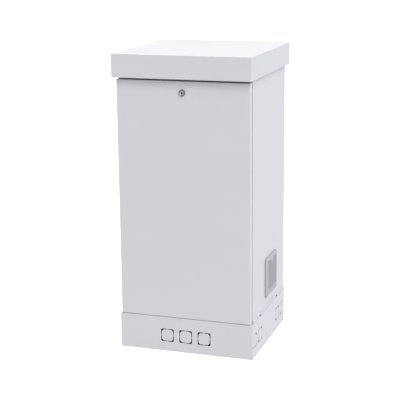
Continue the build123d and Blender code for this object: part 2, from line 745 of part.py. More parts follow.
def countersunk(at, clearance):
    """A flat-headed screw in the hinge foot, or its hole when clearance is given."""
    front = FRAME_Y - HINGE_FOOT_T
    radius = HINGE_SCREW_R + clearance
    head_r = HINGE_SCREW_HEAD_R + clearance
    head = Cone(head_r, radius, head_r - radius, align=(Align.CENTER, Align.CENTER, Align.MIN))
    shank = rod("y", at, radius, (front, front + HINGE_SCREW_L))
    return along("y", at, front) * head + shank


def hinge_screws():
    return group(countersunk(at, 0) for at in hinge_screw_places())


def right_hinge_lug():
    cheek = (HINGE_ARM_X - FIT - HINGE_LUG_T, HINGE_ARM_X - FIT)
    sheet_y = DOOR_Y + SHEET
    axis = (HINGE_Y, HINGE_Z)
    height = (HINGE_Z - HINGE_LUG_R, HINGE_Z + HINGE_LUG_R)
    lug = block(cheek, (sheet_y, HINGE_Y), height)
    lug += rod("x", axis, HINGE_LUG_R, cheek) & block(cheek, (sheet_y, FRAME_Y), height)
    foot_z = HINGE_Z - HINGE_LUG_R
    lug += block((cheek[1] - HINGE_LUG_FOOT_W, cheek[1]), (sheet_y, sheet_y + HINGE_LUG_FOOT_T),
                 (foot_z, foot_z + HINGE_LUG_FOOT_H))
    return lug - rod("x", axis, HINGE_PIN_R + RUNNING, (cheek[0] - OVERRUN, cheek[1] + OVERRUN))


def right_hinge_pin():
    axis = (HINGE_Y, HINGE_Z)
    inner = HINGE_ARM_X - FIT - HINGE_LUG_T
    outer = HINGE_ARM_X + HINGE_ARM_T + FIT
    pin = rod("x", axis, HINGE_PIN_R, (inner, outer))
    return pin + rod("x", axis, HINGE_PIN_HEAD_R, (outer, outer + HINGE_PIN_HEAD_T))


# Cam lock
def lock_housing():
    at = (0, LOCK_Z)
    flange = rod("y", at, LOCK_FLANGE_R, (LOCK_FRONT_Y, DOOR_Y))
    rim = flange.edges().filter_by(GeomType.CIRCLE).sort_by(Axis.Y)[0]
    housing = chamfer(rim, LOCK_FLANGE_CHAMFER)
    housing += rod("y", at, LOCK_BARREL_R, (DOOR_Y, BARREL_END_Y))
    return housing - rod("y", at, LOCK_PLUG_R + RUNNING, (LOCK_FRONT_Y - OVERRUN, CAM_Y))


def lock_nut():
    at = (0, LOCK_Z)
    front = DOOR_Y + SHEET
    nut = hex_bar("y", at, LOCK_NUT_FLATS, (front, front + LOCK_NUT_T))
    return nut - rod("y", at, LOCK_BARREL_R + RUNNING, (DOOR_Y, front + LOCK_NUT_T + OVERRUN))


def lock_tail(clearance, span):
    half = LOCK_TAIL / 2 + clearance
    return block((-half, half), span, (LOCK_Z - half, LOCK_Z + half))


def lock_plug():
    at = (0, LOCK_Z)
    face = LOCK_FRONT_Y + LOCK_PLUG_RECESS
    plug = rod("y", at, LOCK_PLUG_R, (face, BARREL_END_Y))
    plug += lock_tail(0, (BARREL_END_Y, CAM_Y + CAM_T))
    slot = extrude(SlotOverall(KEY_SLOT_L, KEY_SLOT_W), amount=KEY_SLOT_DEPTH + OVERRUN)
    plug -= along("y", at, face - OVERRUN) * slot
    return plug - cam_bolt_shank(FIT)


def lock_cam():
    cam = block((-CAM_W / 2, CAM_REACH), (CAM_Y, CAM_Y + CAM_T), (LOCK_Z - CAM_W / 2, LOCK_Z + CAM_W / 2))
    cam = fillet(cam.edges().filter_by(Axis.Y), CAM_W / 4)
    return cam - lock_tail(RUNNING, (CAM_Y - OVERRUN, CAM_Y + CAM_T + OVERRUN))


def cam_bolt_shank(clearance):
    back = CAM_Y + CAM_T
    return rod("y", (0, LOCK_Z), CAM_BOLT_R + clearance, (back - CAM_BOLT_L - clearance, back))


def lock_cam_bolt():
    back = CAM_Y + CAM_T
    head = hex_bar("y", (0, LOCK_Z), CAM_BOLT_FLATS, (back, back + CAM_BOLT_HEAD))
    return head + cam_bolt_shank(0)


# Cable entry and earth stud
def cable_open_depth():
    return (CABLE_OPEN_Y - CABLE_OPEN_D / 2, CABLE_OPEN_Y + CABLE_OPEN_D / 2)


def plate_screw_places():
    inset = CABLE_PLATE_LAP / 2
    reach_x = CABLE_OPEN_W / 2 + inset
    reach_y = CABLE_OPEN_D / 2 + inset
    return [(x, CABLE_OPEN_Y + y) for x in (-reach_x, 0, reach_x) for y in (-reach_y, reach_y)]


def grommet_places():
    return [(column * GROMMET_PITCH_X, CABLE_OPEN_Y + row * GROMMET_PITCH_Y / 2)
            for column in (-1, 0, 1) for row in (-1, 1)]


def cable_entry_plate():
    reach_x = CABLE_OPEN_W / 2 + CABLE_PLATE_LAP
    reach_y = CABLE_OPEN_D / 2 + CABLE_PLATE_LAP
    plate = block((-reach_x, reach_x), (CABLE_OPEN_Y - reach_y, CABLE_OPEN_Y + reach_y),
                  (FLOOR_TOP_Z, FLOOR_TOP_Z + CABLE_PLATE_T))
    plate = fillet(plate.edges().filter_by(Axis.Z), CABLE_PLATE_LAP / 3)
    through = (FLOOR_Z, FLOOR_TOP_Z + CABLE_PLATE_T + OVERRUN)
    for at in grommet_places():
        plate -= rod("z", at, GROMMET_R + FIT, through)
    for at in plate_screw_places():
        plate -= rod("z", at, PLATE_SCREW_R + FIT, through)
    return plate


def cable_grommets():
    """Rubber grommets, each with a closed skin that is cut when a cable is fitted."""
    low = FLOOR_TOP_Z - GROMMET_LIP_T
    high = FLOOR_TOP_Z + CABLE_PLATE_T + GROMMET_LIP_T
    grommets = []
    for at in grommet_places():
        rubber = rod("z", at, GROMMET_R, (low, high))
        rubber += rod("z", at, GROMMET_R + GROMMET_LIP, (low, FLOOR_TOP_Z))
        rubber += rod("z", at, GROMMET_R + GROMMET_LIP, (FLOOR_TOP_Z + CABLE_PLATE_T, high))
        grommets.append(rubber - rod("z", at, GROMMET_BOWL_R, (low + GROMMET_SKIN, high + OVERRUN)))
    return group(grommets)


def plate_screws():
    size = (PLATE_SCREW_R, PLATE_SCREW_HEAD_R, PLATE_SCREW_HEAD_H, PLATE_SCREW_L)
    seat = FLOOR_TOP_Z + CABLE_PLATE_T
    return group(button_screw("z", at, seat, 1, *size) for at in plate_screw_places())


def earth_stud():
    return rod("z", earth_place(), EARTH_STUD_R, (FLOOR_TOP_Z, FLOOR_TOP_Z + EARTH_STUD_H))


def earth_place():
    return (EARTH_STUD_IN_X - WALL_X, REAR_Y - EARTH_STUD_IN_Y)


def earth_nut():
    nut = hex_bar("z", earth_place(), EARTH_NUT_FLATS, (FLOOR_TOP_Z, FLOOR_TOP_Z + EARTH_NUT_H))
    return nut - rod("z", earth_place(), EARTH_STUD_R + RUNNING, (FLOOR_Z, FLOOR_TOP_Z + EARTH_STUD_H))


# Rack posts and depth rails
def rack_holes(x, y):
    """Square holes, three to a rack unit, through a post's face."""
    half = RACK_HOLE / 2
    holes = []
    for unit in range(RACK_UNITS):
        for share in RACK_HOLE_SHARES:
            z = RACK_Z + (unit + share) * RACK_UNIT
            holes.append(block((x - half, x + half), y, (z - half, z + half)))
    return holes


def right_post(front):
    """The front or the rear post on the right side."""
    across = (POST_X, POST_OUT_X)
    rise = (FLOOR_TOP_Z, WALL_TOP_Z)
    if front:
        depth = (FRONT_POST_Y, FRONT_POST_Y + POST_SIDE)
        face = (depth[0] - OVERRUN, depth[0] + POST_SHEET + OVERRUN)
        open_side = "+y"
    else:
        depth = (REAR_POST_Y - POST_SIDE, REAR_POST_Y)
        face = (depth[1] - POST_SHEET - OVERRUN, depth[1] + OVERRUN)
        open_side = "-y"
    post = folded(across, depth, rise, ["-x", open_side], run="z", sheet=POST_SHEET)
    post -= rack_holes(POST_X + RACK_HOLE_IN, face)
    for at in post_screw_places(front):
        post -= rod("x", at, POST_SCREW_R + FIT, (POST_OUT_X - 2 * POST_SHEET, POST_OUT_X + OVERRUN))
    return post


def post_screw_places(front):
    """Two screws at each depth rail, as y and z."""
    y = FRONT_POST_Y + POST_SCREW_BACK if front else REAR_POST_Y - POST_SCREW_BACK
    half = POST_SCREW_PITCH / 2
    return [(y, level + step) for level in RAIL_LEVELS for step in (-half, half)]


def right_depth_rail(level):
    """A hat-shaped rail on the side wall that carries a front and a rear post."""
    depth = (FRAME_Y + RAIL_END_GAP, WALL_REAR_Y - RAIL_END_GAP)
    half = RAIL_H / 2
    rail = folded((POST_OUT_X, WALL_IN_X), depth, (level - half, level + half), ["+x"], run="y")
    lip = (WALL_IN_X - SHEET, WALL_IN_X)
    rail += block(lip, depth, (level + half - SHEET, level + half + RAIL_LIP))
    rail += block(lip, depth, (level - half - RAIL_LIP, level - half + SHEET))
    web = (POST_OUT_X - OVERRUN, POST_OUT_X + SHEET + OVERRUN)
    inner = (FRONT_POST_Y + POST_SIDE + RAIL_SLOT_L, REAR_POST_Y - POST_SIDE - RAIL_SLOT_L)
    count = int((inner[1] - inner[0]) // RAIL_SLOT_PITCH)
    for slot in range(count):
        y = (inner[0] + inner[1]) / 2 + (slot - (count - 1) / 2) * RAIL_SLOT_PITCH
        rail -= block(web, (y - RAIL_SLOT_L / 2, y + RAIL_SLOT_L / 2),
                      (level - RAIL_SLOT_W / 2, level + RAIL_SLOT_W / 2))
    for front in (True, False):
        for at in post_screw_places(front):
            rail -= rod("x", at, POST_SCREW_R + FIT, web)
    return rail


def post_screws():
    size = (POST_SCREW_R, POST_SCREW_HEAD_R, POST_SCREW_HEAD_H, POST_SHEET + SHEET + POST_SCREW_TAIL)
    right = []
    for front in (True, False):
        for at in post_screw_places(front):
            right.append(button_screw("x", at, POST_OUT_X - POST_SHEET, -1, *size))
    return group(right + [mirrored(screw) for screw in right])


# Filter unit
def filter_square(size, x):
    half = size / 2
    return block(x, (FILTER_Y - half, FILTER_Y + half), (FILTER_Z - half, FILTER_Z + half))


def rounded_filter_square(size, x):
    square = filter_square(size, x)
    return fillet(square.edges().filter_by(Axis.X), FILTER_CORNER_R)


def filter_spigot():
    return FILTER_CUT - 2 * FIT


def filter_frame():
    at = (FILTER_Y, FILTER_Z)
    frame = rounded_filter_square(FILTER, (WALL_X, FILTER_BASE_X))
    frame += filter_square(filter_spigot(), (FILTER_BACK_X, WALL_X))
    inside = filter_spigot() - 2 * FILTER_WALL
    frame -= filter_square(inside, (FILTER_BACK_X + FILTER_BACK_T, FILTER_BASE_X + OVERRUN))
    frame -= rod("x", at, FAN_BORE_R, (FILTER_BACK_X - OVERRUN, WALL_X))
    for y, z in fan_screw_places():
        frame -= rod("x", (y, z), FAN_SCREW_R + FIT, (FILTER_BACK_X - OVERRUN, WALL_X))
    return frame


def filter_mat():
    size = filter_spigot() - 2 * FILTER_WALL - 2 * FIT
    seat = FILTER_BACK_X + FILTER_BACK_T
    return filter_square(size, (seat, seat + FILTER_MAT_T))


def louvre_cover():
    """A sloped border with downward slats and a pull tab at the top."""
    slab = filter_square(FILTER, (FILTER_BASE_X, FILTER_COVER_X))
    outer_face = slab.faces().sort_by(Axis.X)[-1]
    cover = chamfer(outer_face.edges(), COVER_SLOPE, COVER_T - COVER_EDGE, reference=outer_face)
    cover &= rounded_filter_square(FILTER, (FILTER_BASE_X - OVERRUN, FILTER_COVER_X + OVERRUN))
    raised = FILTER / 2 - COVER_SLOPE
    half = raised - LOUVRE_SIDE_MARGIN
    low = FILTER_Z - raised + LOUVRE_BOTTOM_MARGIN
    high = FILTER_Z + half
    cover -= block((FILTER_BASE_X - OVERRUN, FILTER_COVER_X + OVERRUN),
                   (FILTER_Y - half, FILTER_Y + half), (low, high))
    pitch = (high - low) / LOUVRES
    slab_plane = Plane(origin=(0, FILTER_Y - half, 0), x_dir=(1, 0, 0), z_dir=(0, -1, 0))
    for slat in range(LOUVRES):
        top = high + LOUVRE_T / 2 - slat * pitch
        outline = Polyline((FILTER_BASE_X, top), (FILTER_COVER_X, top - COVER_T),
                           (FILTER_COVER_X, top - COVER_T - LOUVRE_T),
                           (FILTER_BASE_X, top - LOUVRE_T), close=True)
        cover += extrude(slab_plane * make_face(outline), amount=-2 * half)
    tip = Polyline((-TAB_W / 2, high), (TAB_W / 2, high), (0, high - TAB_H), close=True)
    tab_plane = Plane(origin=(FILTER_COVER_X, FILTER_Y, 0), x_dir=(0, 1, 0), z_dir=(1, 0, 0))
    return cover + extrude(tab_plane * make_face(tip), amount=-TAB_T)


# Fan
def fan_screw_places():
    half = FAN_SCREW_SPAN / 2
    return [(FILTER_Y + y, FILTER_Z + z) for y in (-half, half) for z in (-half, half)]


def fan_housing():
    at = (FILTER_Y, FILTER_Z)
    span = (FAN_IN_X, FILTER_BACK_X)
    square = filter_square(FAN, span)
    housing = fillet(square.edges().filter_by(Axis.X), FAN_CORNER_R)
    housing -= rod("x", at, FAN_BORE_R, (span[0] - OVERRUN, span[1] + OVERRUN))
    hub = (FAN_IN_X, FAN_IN_X + FAN_HUB_T)
    housing += rod("x", at, FAN_HUB_R, hub)
    reach = FAN_BORE_R + FAN_STRUT_W / 2
    for strut in range(FAN_STRUTS):
        bar = block(hub, (0, reach), (-FAN_STRUT_W / 2, FAN_STRUT_W / 2))
        turn = 360 / FAN_STRUTS * (strut + 1 / 2)
        housing += Pos(0, *at) * Rot(turn, 0, 0) * bar
    housing -= rod("x", at, FAN_SHAFT_R + RUNNING, (hub[0] - OVERRUN, hub[1] + OVERRUN))
    for y, z in fan_screw_places():
        housing -= rod("x", (y, z), FAN_SCREW_R + FIT, (span[0] - OVERRUN, span[1] + OVERRUN))
    return housing


def fan_impeller():
    at = (FILTER_Y, FILTER_Z)
    start = FAN_IN_X + FAN_HUB_T + FAN_ROTOR_GAP
    span = (start, start + FAN_ROTOR_H)
    rotor = rod("x", at, FAN_ROTOR_HUB_R, span) + rod("x", at, FAN_SHAFT_R, (FAN_IN_X, start))
    reach = (FAN_ROTOR_HUB_R - FAN_BLADE_T, FAN_ROTOR_R)
    blade = block((-FAN_BLADE_W / 2, FAN_BLADE_W / 2), reach, (-FAN_BLADE_T / 2, FAN_BLADE_T / 2))
    pitched = Rot(0, FAN_BLADE_PITCH, 0) * blade
    middle = (span[0] + span[1]) / 2
    sweep = rod("x", at, FAN_ROTOR_R, span)
    for number in range(FAN_BLADES):
        turned = Pos(middle, *at) * Rot(360 / FAN_BLADES * number, 0, 0) * pitched
        rotor += turned & sweep
    return rotor


def fan_screws():
    tail = FAN_D + FILTER_BACK_T
    size = (FAN_SCREW_R, FAN_SCREW_HEAD_R, FAN_SCREW_HEAD_H, tail - FIT)
    return group(button_screw("x", at, FAN_IN_X, -1, *size) for at in fan_screw_places())


# Every node of the cabinet
NODES = {
    "plinth_front": plinth_front(),
    "plinth_rear": plinth_rear(),
    "plinth_right": plinth_right(),
    "plinth_left": mirrored(plinth_right()),
    "plinth_corner_angles": corner_angles(),
    "plinth_bolts": plinth_bolts(),
    "plinth_nuts": plinth_nuts(),
    "floor_pan": floor_pan(),
    "left_side_wall": left_side_wall(),
    "right_side_wall": right_side_wall(),
    "side_strips": side_strips(),
    "side_screws": side_screws(),
    "rear_panel": rear_panel(),
    "rear_panel_screws": rear_screws(),
    "front_header": front_header(),
    "front_sill": front_sill(),
    "top_pan": top_pan(),
    "top_pan_screws": top_screws(),
    "roof_cover": roof_cover(),
    "roof_spacers": roof_spacers(),
    "roof_studs": roof_studs(),
    "roof_nuts": roof_nuts(),
    "front_door": front_door(),
    "door_inner_panel": door_inner_panel(),
    "door_panel_screws": door_panel_screws(),
    "door_gasket": door_gasket(),
    "right_hinge_bracket": right_hinge_bracket(),
    "left_hinge_bracket": mirrored(right_hinge_bracket()),
    "hinge_screws": hinge_screws(),
    "right_hinge_lug": right_hinge_lug(),
    "left_hinge_lug": mirrored(right_hinge_lug()),
    "right_hinge_pin": right_hinge_pin(),
    "left_hinge_pin": mirrored(right_hinge_pin()),
    "lock_housing": lock_housing(),
    "lock_nut": lock_nut(),
    "lock_plug": lock_plug(),
    "lock_cam": lock_cam(),
    "lock_cam_bolt": lock_cam_bolt(),
    "cable_entry_plate": cable_entry_plate(),
    "cable_grommets": cable_grommets(),
    "cable_plate_screws": plate_screws(),
    "earth_stud": earth_stud(),
    "earth_nut": earth_nut(),
    "front_right_post": right_post(True),
    "front_left_post": mirrored(right_post(True)),
    "rear_right_post": right_post(False),
    "rear_left_post": mirrored(right_post(False)),
    "lower_right_rail": right_depth_rail(RAIL_LEVELS[0]),
    "lower_left_rail": mirrored(right_depth_rail(RAIL_LEVELS[0])),
    "upper_right_rail": right_depth_rail(RAIL_LEVELS[1]),
    "upper_left_rail": mirrored(right_depth_rail(RAIL_LEVELS[1])),
    "post_screws": post_screws(),
    "filter_frame": filter_frame(),
    "filter_mat": filter_mat(),
    "louvre_cover": louvre_cover(),
    "fan_housing": fan_housing(),
    "fan_impeller": fan_impeller(),
    "fan_screws": fan_screws(),
}

os.makedirs("parts", exist_ok=True)
for name, solid in NODES.items():
    export_step(solid, "parts/" + name + ".step")
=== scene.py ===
import json
import math

import bmesh
import bpy
from bpy.props import FloatProperty, FloatVectorProperty, IntProperty, PointerProperty
from bpy.types import NodeSocket, Operator, Panel, PropertyGroup
from mathutils import Matrix, Vector


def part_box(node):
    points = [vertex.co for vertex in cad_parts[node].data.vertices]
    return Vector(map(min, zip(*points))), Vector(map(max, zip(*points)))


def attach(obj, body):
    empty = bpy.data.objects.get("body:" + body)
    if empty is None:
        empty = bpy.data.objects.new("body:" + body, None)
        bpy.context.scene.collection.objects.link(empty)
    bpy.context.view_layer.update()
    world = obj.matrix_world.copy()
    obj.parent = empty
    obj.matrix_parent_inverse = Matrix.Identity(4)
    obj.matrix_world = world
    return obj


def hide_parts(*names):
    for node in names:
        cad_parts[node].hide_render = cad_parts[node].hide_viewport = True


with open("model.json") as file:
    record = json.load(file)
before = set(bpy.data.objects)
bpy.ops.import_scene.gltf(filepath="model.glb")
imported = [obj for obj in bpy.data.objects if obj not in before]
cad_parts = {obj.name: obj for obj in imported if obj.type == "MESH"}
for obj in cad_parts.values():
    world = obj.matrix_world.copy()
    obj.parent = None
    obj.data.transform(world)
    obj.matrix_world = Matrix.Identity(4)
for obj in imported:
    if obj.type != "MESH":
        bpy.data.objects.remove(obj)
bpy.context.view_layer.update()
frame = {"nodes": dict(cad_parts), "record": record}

bl_info = {
    "name": "Outdoor rack cabinet",
    "version": (1, 0, 0),
    "blender": (4, 5, 0),
    "location": "View3D > Sidebar > Cabinet",
    "description": "Finishes and fine pieces of a rack cabinet, built round its CAD frame",
    "category": "Object",
}

SLOTS = {part["node"]: part["material_slot"] for part in frame["record"]["subparts"]}
SLOTS["lock_nut"] = "bright_steel"  # plated like the other nuts
AXES = {"x": Vector((1, 0, 0)), "y": Vector((0, 1, 0)), "z": Vector((0, 0, 1))}
FULL_TURN = 2 * math.pi
QUARTER_TURN = math.pi / 2
TINY = 1e-5  # points that lie closer than this count as one
OVERLAP = 0.001  # how far a cutting or joining tool reaches past a face


# Sizes and colours that a user would change
def setting(kind, **fixed):
    """A maker of one kind of setting, from its name, description and default."""
    return lambda name, description, default: kind(
        name=name, description=description, default=default, **fixed
    )


length = setting(FloatProperty, unit="LENGTH", precision=5)
lens_length = setting(FloatProperty, unit="CAMERA")
share = setting(FloatProperty, min=0, subtype="FACTOR")
power = setting(FloatProperty)
count = setting(IntProperty, min=1)
colour = setting(FloatVectorProperty, subtype="COLOR", size=3, min=0, max=1)
point = setting(FloatVectorProperty, subtype="XYZ", unit="LENGTH")


def angle(name, description, degrees):
    return setting(FloatProperty, subtype="ANGLE")(name, description, math.radians(degrees))


class CabinetFinish(PropertyGroup):
    coat: colour("Powder coat", "Colour of the painted sheet", (0.745, 0.755, 0.785))
    # colour of the painted shade laid on the paint's seam, ledge and seal gap and on the lock's
    # rim and key slot
    grime: colour("Grime", "Colour of grime in seams and on the lock", (0.05, 0.05, 0.053))
    zinc: colour("Zinc", "Colour of the galvanised sheet", (0.60, 0.61, 0.63))
    plating: colour("Plating", "Colour of the plated screws and nuts", (0.62, 0.62, 0.63))
    black_oxide: colour("Black screws", "Colour of the side walls' screws", (0.035, 0.035, 0.038))
    nickel: colour("Lock", "Colour of the lock's satin nickel", (0.56, 0.535, 0.495))
    rubber: colour("Rubber", "Colour of the seal and the grommets", (0.022, 0.022, 0.024))
    plastic: colour("Louvre plastic", "Colour of the louvre cover", (0.525, 0.525, 0.53))
    # colour of the painted shade deep between the louvre slats, where each slat shades the one
    # below
    dust: colour("Dust", "Colour of the cover deep between its slats", (0.07, 0.07, 0.073))
    frame_plastic: colour("Frame plastic", "Colour of the filter's frame", (0.395, 0.40, 0.405))
    fleece: colour("Fleece", "Colour of the filter fleece", (0.70, 0.71, 0.69))
    fan: colour("Fan", "Colour of the fan's plastic", (0.018, 0.018, 0.020))
    peel: length("Orange peel", "Width of the waves in the powder coat", 0.0012)
    spangle: length("Spangle", "Width of the crystals in the zinc", 0.009)


class CabinetPieces(PropertyGroup):
    socket: share("Socket", "Width of a screw's socket, as a share of its head", 0.52)
    seal_width: length("Seal width", "Width of the door seal's strip", 0.012)
    seal_corner: length("Seal corner", "Outer radius of the door seal's corners", 0.014)
    cover_edge: length("Cover edge", "Height of the louvre cover's upright rim", 0.0006)
    cover_slope: length("Cover slope", "Width of the louvre cover's sloped border", 0.013)
    cover_corner: length("Cover corner", "Radius of the louvre cover's corners", 0.006)
    cover_rim: length("Cover rim", "Width of the flat rim beside the slats", 0.006)
    cover_sill: length("Cover sill", "Width of the flat strip under the slats", 0.014)
    slats: count("Slats", "Number of slats in the louvre cover", 16)
    slat: length("Slat", "Thickness of a slat", 0.0022)
    slat_reach: length("Slat reach", "How far the slats reach behind the cover", 0.004)
    tab_width: length("Tab width", "Width of the pull tab at the top of the cover", 0.054)
    tab_height: length("Tab height", "Height of the pull tab", 0.028)
    tab: length("Tab", "Thickness of the pull tab", 0.002)
    thread: share("Thread", "Pitch of a stud's thread, as a share of its radius", 0.31)
    lock_barrel: length("Lock barrel", "Radius of the lock's barrel behind its flange", 0.011)
    lock_tail: length("Lock tail", "Width of the square tail that carries the cam", 0.008)
    key_slot_length: length("Key slot length", "Length of the key slot", 0.009)
    key_slot_width: length("Key slot width", "Width of the key slot", 0.0026)
    key_slot_depth: length("Key slot depth", "Depth of the key slot", 0.004)
    cam_bolt: length("Cam bolt", "Radius of the bolt that holds the cam", 0.0025)
    cam_bolt_length: length("Cam bolt length", "Length of the bolt that holds the cam", 0.0145)
    grommet_neck: share("Grommet neck", "Grommet's radius in its plate, against its lip", 0.84)
    grommet_bowl: share("Grommet bowl", "Radius of a grommet's bowl, against its lip", 0.64)
    fan_hub: length("Fan hub", "Radius of the impeller's hub", 0.020)
    fan_depth: length("Fan depth", "Depth of the impeller's hub", 0.026)
    fan_shaft: length("Fan shaft", "Radius of the impeller's shaft", 0.003)
    blades: count("Blades", "Number of blades on the impeller", 7)
    blade_width: length("Blade width", "Width of a blade", 0.024)
    blade: length("Blade", "Thickness of a blade", 0.0016)
    blade_pitch: angle("Blade pitch", "Angle of a blade at its root", 52)
    blade_twist: angle("Blade twist", "How far a blade turns from root to tip", 22)


class CabinetStage(PropertyGroup):
    azimuth: angle("Azimuth", "Camera's turn to the right of the door", 18.473)
    elevation: angle("Elevation", "Camera's height above the level", 13.655)
    roll: angle("Roll", "Camera's lean", -0.580)
    distance: length("Distance", "From the camera to its target", 5.1586)
    target: point("Target", "Point that the camera looks at", (-0.0249, 0, 0.6317))
    lens: lens_length("Lens", "Focal length of the camera", 101.25)
    floor: length("Floor", "Width of the pale floor", 80)
    floor_glow: share("Floor glow", "Brightness that keeps the floor pale", 0.5)
    floor_bounce: share("Floor bounce", "Light from the floor on the cabinet", 0.62)
    dome: colour("Dome", "Soft light from all round", (0.495, 0.492, 0.505))
    dome_top: colour("Dome top", "Light that it gains towards its top", (0.265, 0.25, 0.225))
    dome_right: colour("Dome right", "Light that it gains to the right", (0.53, 0.575, 0.655))
    dome_front: colour("Dome front", "Light that it gains to the front", (0.09, 0.085, 0.09))
    key: power("Key", "Strength of the soft light from the upper right", 1.0)
    key_turn: angle("Key turn", "Key light's turn to the right of the door", 38)
    key_rise: angle("Key rise", "Key light's height above the level", 48)
    fill: power("Fill", "Strength of the soft light from the left rear", 1.77)
    fill_turn: angle("Fill turn", "Fill light's turn to the right of the door", 230)
    fill_rise: angle("Fill rise", "Fill light's height above the level", 65)
    softness: angle("Softness", "How wide the two lights are", 24)


# Modelling helpers
def rest():
    """Leave edit mode and select nothing."""
    if bpy.context.mode != "OBJECT":
        bpy.ops.object.mode_set(mode="OBJECT")
    bpy.ops.object.select_all(action="DESELECT")


def take(piece):
    """Select one piece alone and make it the active one."""
    rest()
    piece.select_set(True)
    bpy.context.view_layer.objects.active = piece


def named(name):
    """Name the object that was just added, with its place in its mesh."""
    bpy.ops.object.transform_apply(location=True, rotation=True, scale=True)
    piece = bpy.context.object
    piece.name = name
    piece.data.name = name
    return piece


def select_all():
    bpy.ops.mesh.select_all(action="SELECT")


def edit(piece):
    """Edit a piece, with all of its mesh selected."""
    take(piece)
    bpy.ops.object.mode_set(mode="EDIT")
    select_all()


def pick(piece, kind, test):
    """Select what passes a test, in the mesh that is being edited."""
    bpy.ops.mesh.select_mode(type=kind)
    bpy.ops.mesh.select_all(action="DESELECT")
    mesh = bmesh.from_edit_mesh(piece.data)
    for item in {"VERT": mesh.verts, "EDGE": mesh.edges, "FACE": mesh.faces}[kind]:
        if test(item):
            item.select_set(True)
    mesh.select_flush_mode()
    bmesh.update_edit_mesh(piece.data)


def span(edge):
    """How far an edge runs along X, Y and Z."""
    return Vector([abs(part) for part in edge.verts[0].co - edge.verts[1].co])


def extrude(x=0.0, y=0.0, z=0.0):
    bpy.ops.mesh.extrude_region_move(TRANSFORM_OT_translate={"value": (x, y, z)})


def bevel(offset, segments, affect="EDGES"):
    bpy.ops.mesh.bevel(offset=offset, segments=segments, affect=affect, clamp_overlap=True)


def modify(piece, kind, **settings):
    """Add a modifier and apply it."""
    take(piece)
    modifier = piece.modifiers.new(kind.title(), kind)
    for key, value in settings.items():
        setattr(modifier, key, value)
    bpy.ops.object.modifier_apply(modifier=modifier.name)


def combine(piece, tool, operation):
    """Cut, join or trim a piece with another, which is then removed."""
    modify(piece, "BOOLEAN", object=tool, operation=operation, solver="EXACT")
    bpy.data.objects.remove(tool)


def soften(piece, width, segments=2):
    """Round all edges that are sharper than 30 degrees."""
    modify(piece, "BEVEL", width=width, segments=segments, limit_method="ANGLE",
           angle_limit=math.radians(30))


def smooth(piece, degrees=35):
    """Shade a piece as round, but for edges sharper than an angle."""
    take(piece)
    bpy.ops.object.shade_smooth_by_angle(angle=math.radians(degrees))
    return piece


def outward(piece):
    """Merge doubles and point all faces outwards."""
    edit(piece)
    bpy.ops.mesh.remove_doubles(threshold=TINY)
    bpy.ops.mesh.normals_make_consistent(inside=False)
    rest()


def joined(name, pieces):
    take(pieces[0])
    for piece in pieces:
        piece.select_set(True)
    bpy.ops.object.join()
    return named(name)


def bar(name, sides, radius, low, high):
    """A round or six-sided bar up the Z axis."""
    rest()
    bpy.ops.mesh.primitive_cylinder_add(
        vertices=sides, radius=radius, depth=high - low, location=(0, 0, (low + high) / 2)
    )
    return named(name)


def brick(name, size, at):
    rest()
    bpy.ops.mesh.primitive_cube_add(size=1, location=at)
    bpy.context.object.scale = size
    return named(name)


def sheet(name, size, at=(0, 0, 0), turn=(0, 0, 0)):
    """A flat rectangle that lies level before it is turned."""
    rest()
    bpy.ops.mesh.primitive_plane_add(size=1, location=at, rotation=turn)
    bpy.context.object.scale = (*size, 1)
    return named(name)


def turned(name, outline, steps=48):
    """A round piece about the Z axis, from the radius and height of its outline's points."""
    piece = sheet(name, (TINY, TINY))
    edit(piece)
    bpy.ops.mesh.select_mode(type="VERT")
    select_all()
    bpy.ops.mesh.merge(type="CENTER")
    bpy.ops.transform.translate(value=(outline[0][0], 0, outline[0][1]))
    for (radius, height), (next_radius, next_height) in zip(outline, outline[1:]):
        step = (next_radius - radius, 0, next_height - height)
        bpy.ops.mesh.extrude_vertices_move(TRANSFORM_OT_translate={"value": step})
    select_all()
    bpy.ops.mesh.spin(steps=steps, angle=FULL_TURN, center=(0, 0, 0), axis=(0, 0, 1))
    outward(piece)
    return piece


def moved(piece, place):
    """Put a piece that was made about the Z axis into its place."""
    piece.data.transform(place)
    return piece


def copied(pattern, place):
    """A copy of a modelled piece, with its own mesh, moved to its place."""
    copy = pattern.copy()
    copy.data = pattern.data.copy()
    bpy.context.collection.objects.link(copy)
    return moved(copy, place)


def along(way, at, side=None):
    """The place whose own +Z points in a direction, and whose own +Y points to a side."""
    if side is None:
        turn = AXES["z"].rotation_difference(Vector(way)).to_matrix()
    else:
        turn = Matrix((side.cross(way), side, way)).transposed()
    return Matrix.Translation(at) @ turn.to_4x4()


def solids_of(node):
    """The corners of each separate solid in a CAD node."""
    mesh = frame["nodes"][node].data
    keys = [tuple(round(value, 6) for value in vert.co) for vert in mesh.vertices]
    leader = {key: key for key in keys}

    def head(key):
        while leader[key] != key:
            leader[key] = leader[leader[key]]
            key = leader[key]
        return key

    for polygon in mesh.polygons:
        first = head(keys[polygon.vertices[0]])
        for index in polygon.vertices[1:]:
            leader[head(keys[index])] = first
    groups = {}
    for key in leader:
        groups.setdefault(head(key), []).append(Vector(key))
    return [groups[key] for key in sorted(groups)]


def middle_of(corners):
    return sum(corners, Vector()) / len(corners)


def spokes_of(corners, at, run):
    """From an axis to each corner, square to the axis."""
    return [corner - at - run * (corner - at).dot(run) for corner in corners]


def placed(piece, node, body):
    """Finish a modelled piece and let it stand for a CAD node."""
    slot = SLOTS[node]
    piece.data.materials.clear()
    piece.data.materials.append(finish(slot))
    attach(piece, body)
    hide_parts(node)


# Node helpers
def wire(tree, inputs, values):
    """Give inputs their values; a value may be another node's socket."""
    for key, value in values.items():
        if isinstance(value, NodeSocket):
            tree.links.new(value, inputs[key])
        else:
            inputs[key].default_value = value


def put(tree, kind, values=None, **settings):
    """Add a node with its settings and the values of its inputs."""
    made = tree.nodes.new(kind)
    for key, value in settings.items():
        setattr(made, key, value)
    wire(tree, made.inputs, values or {})
    return made


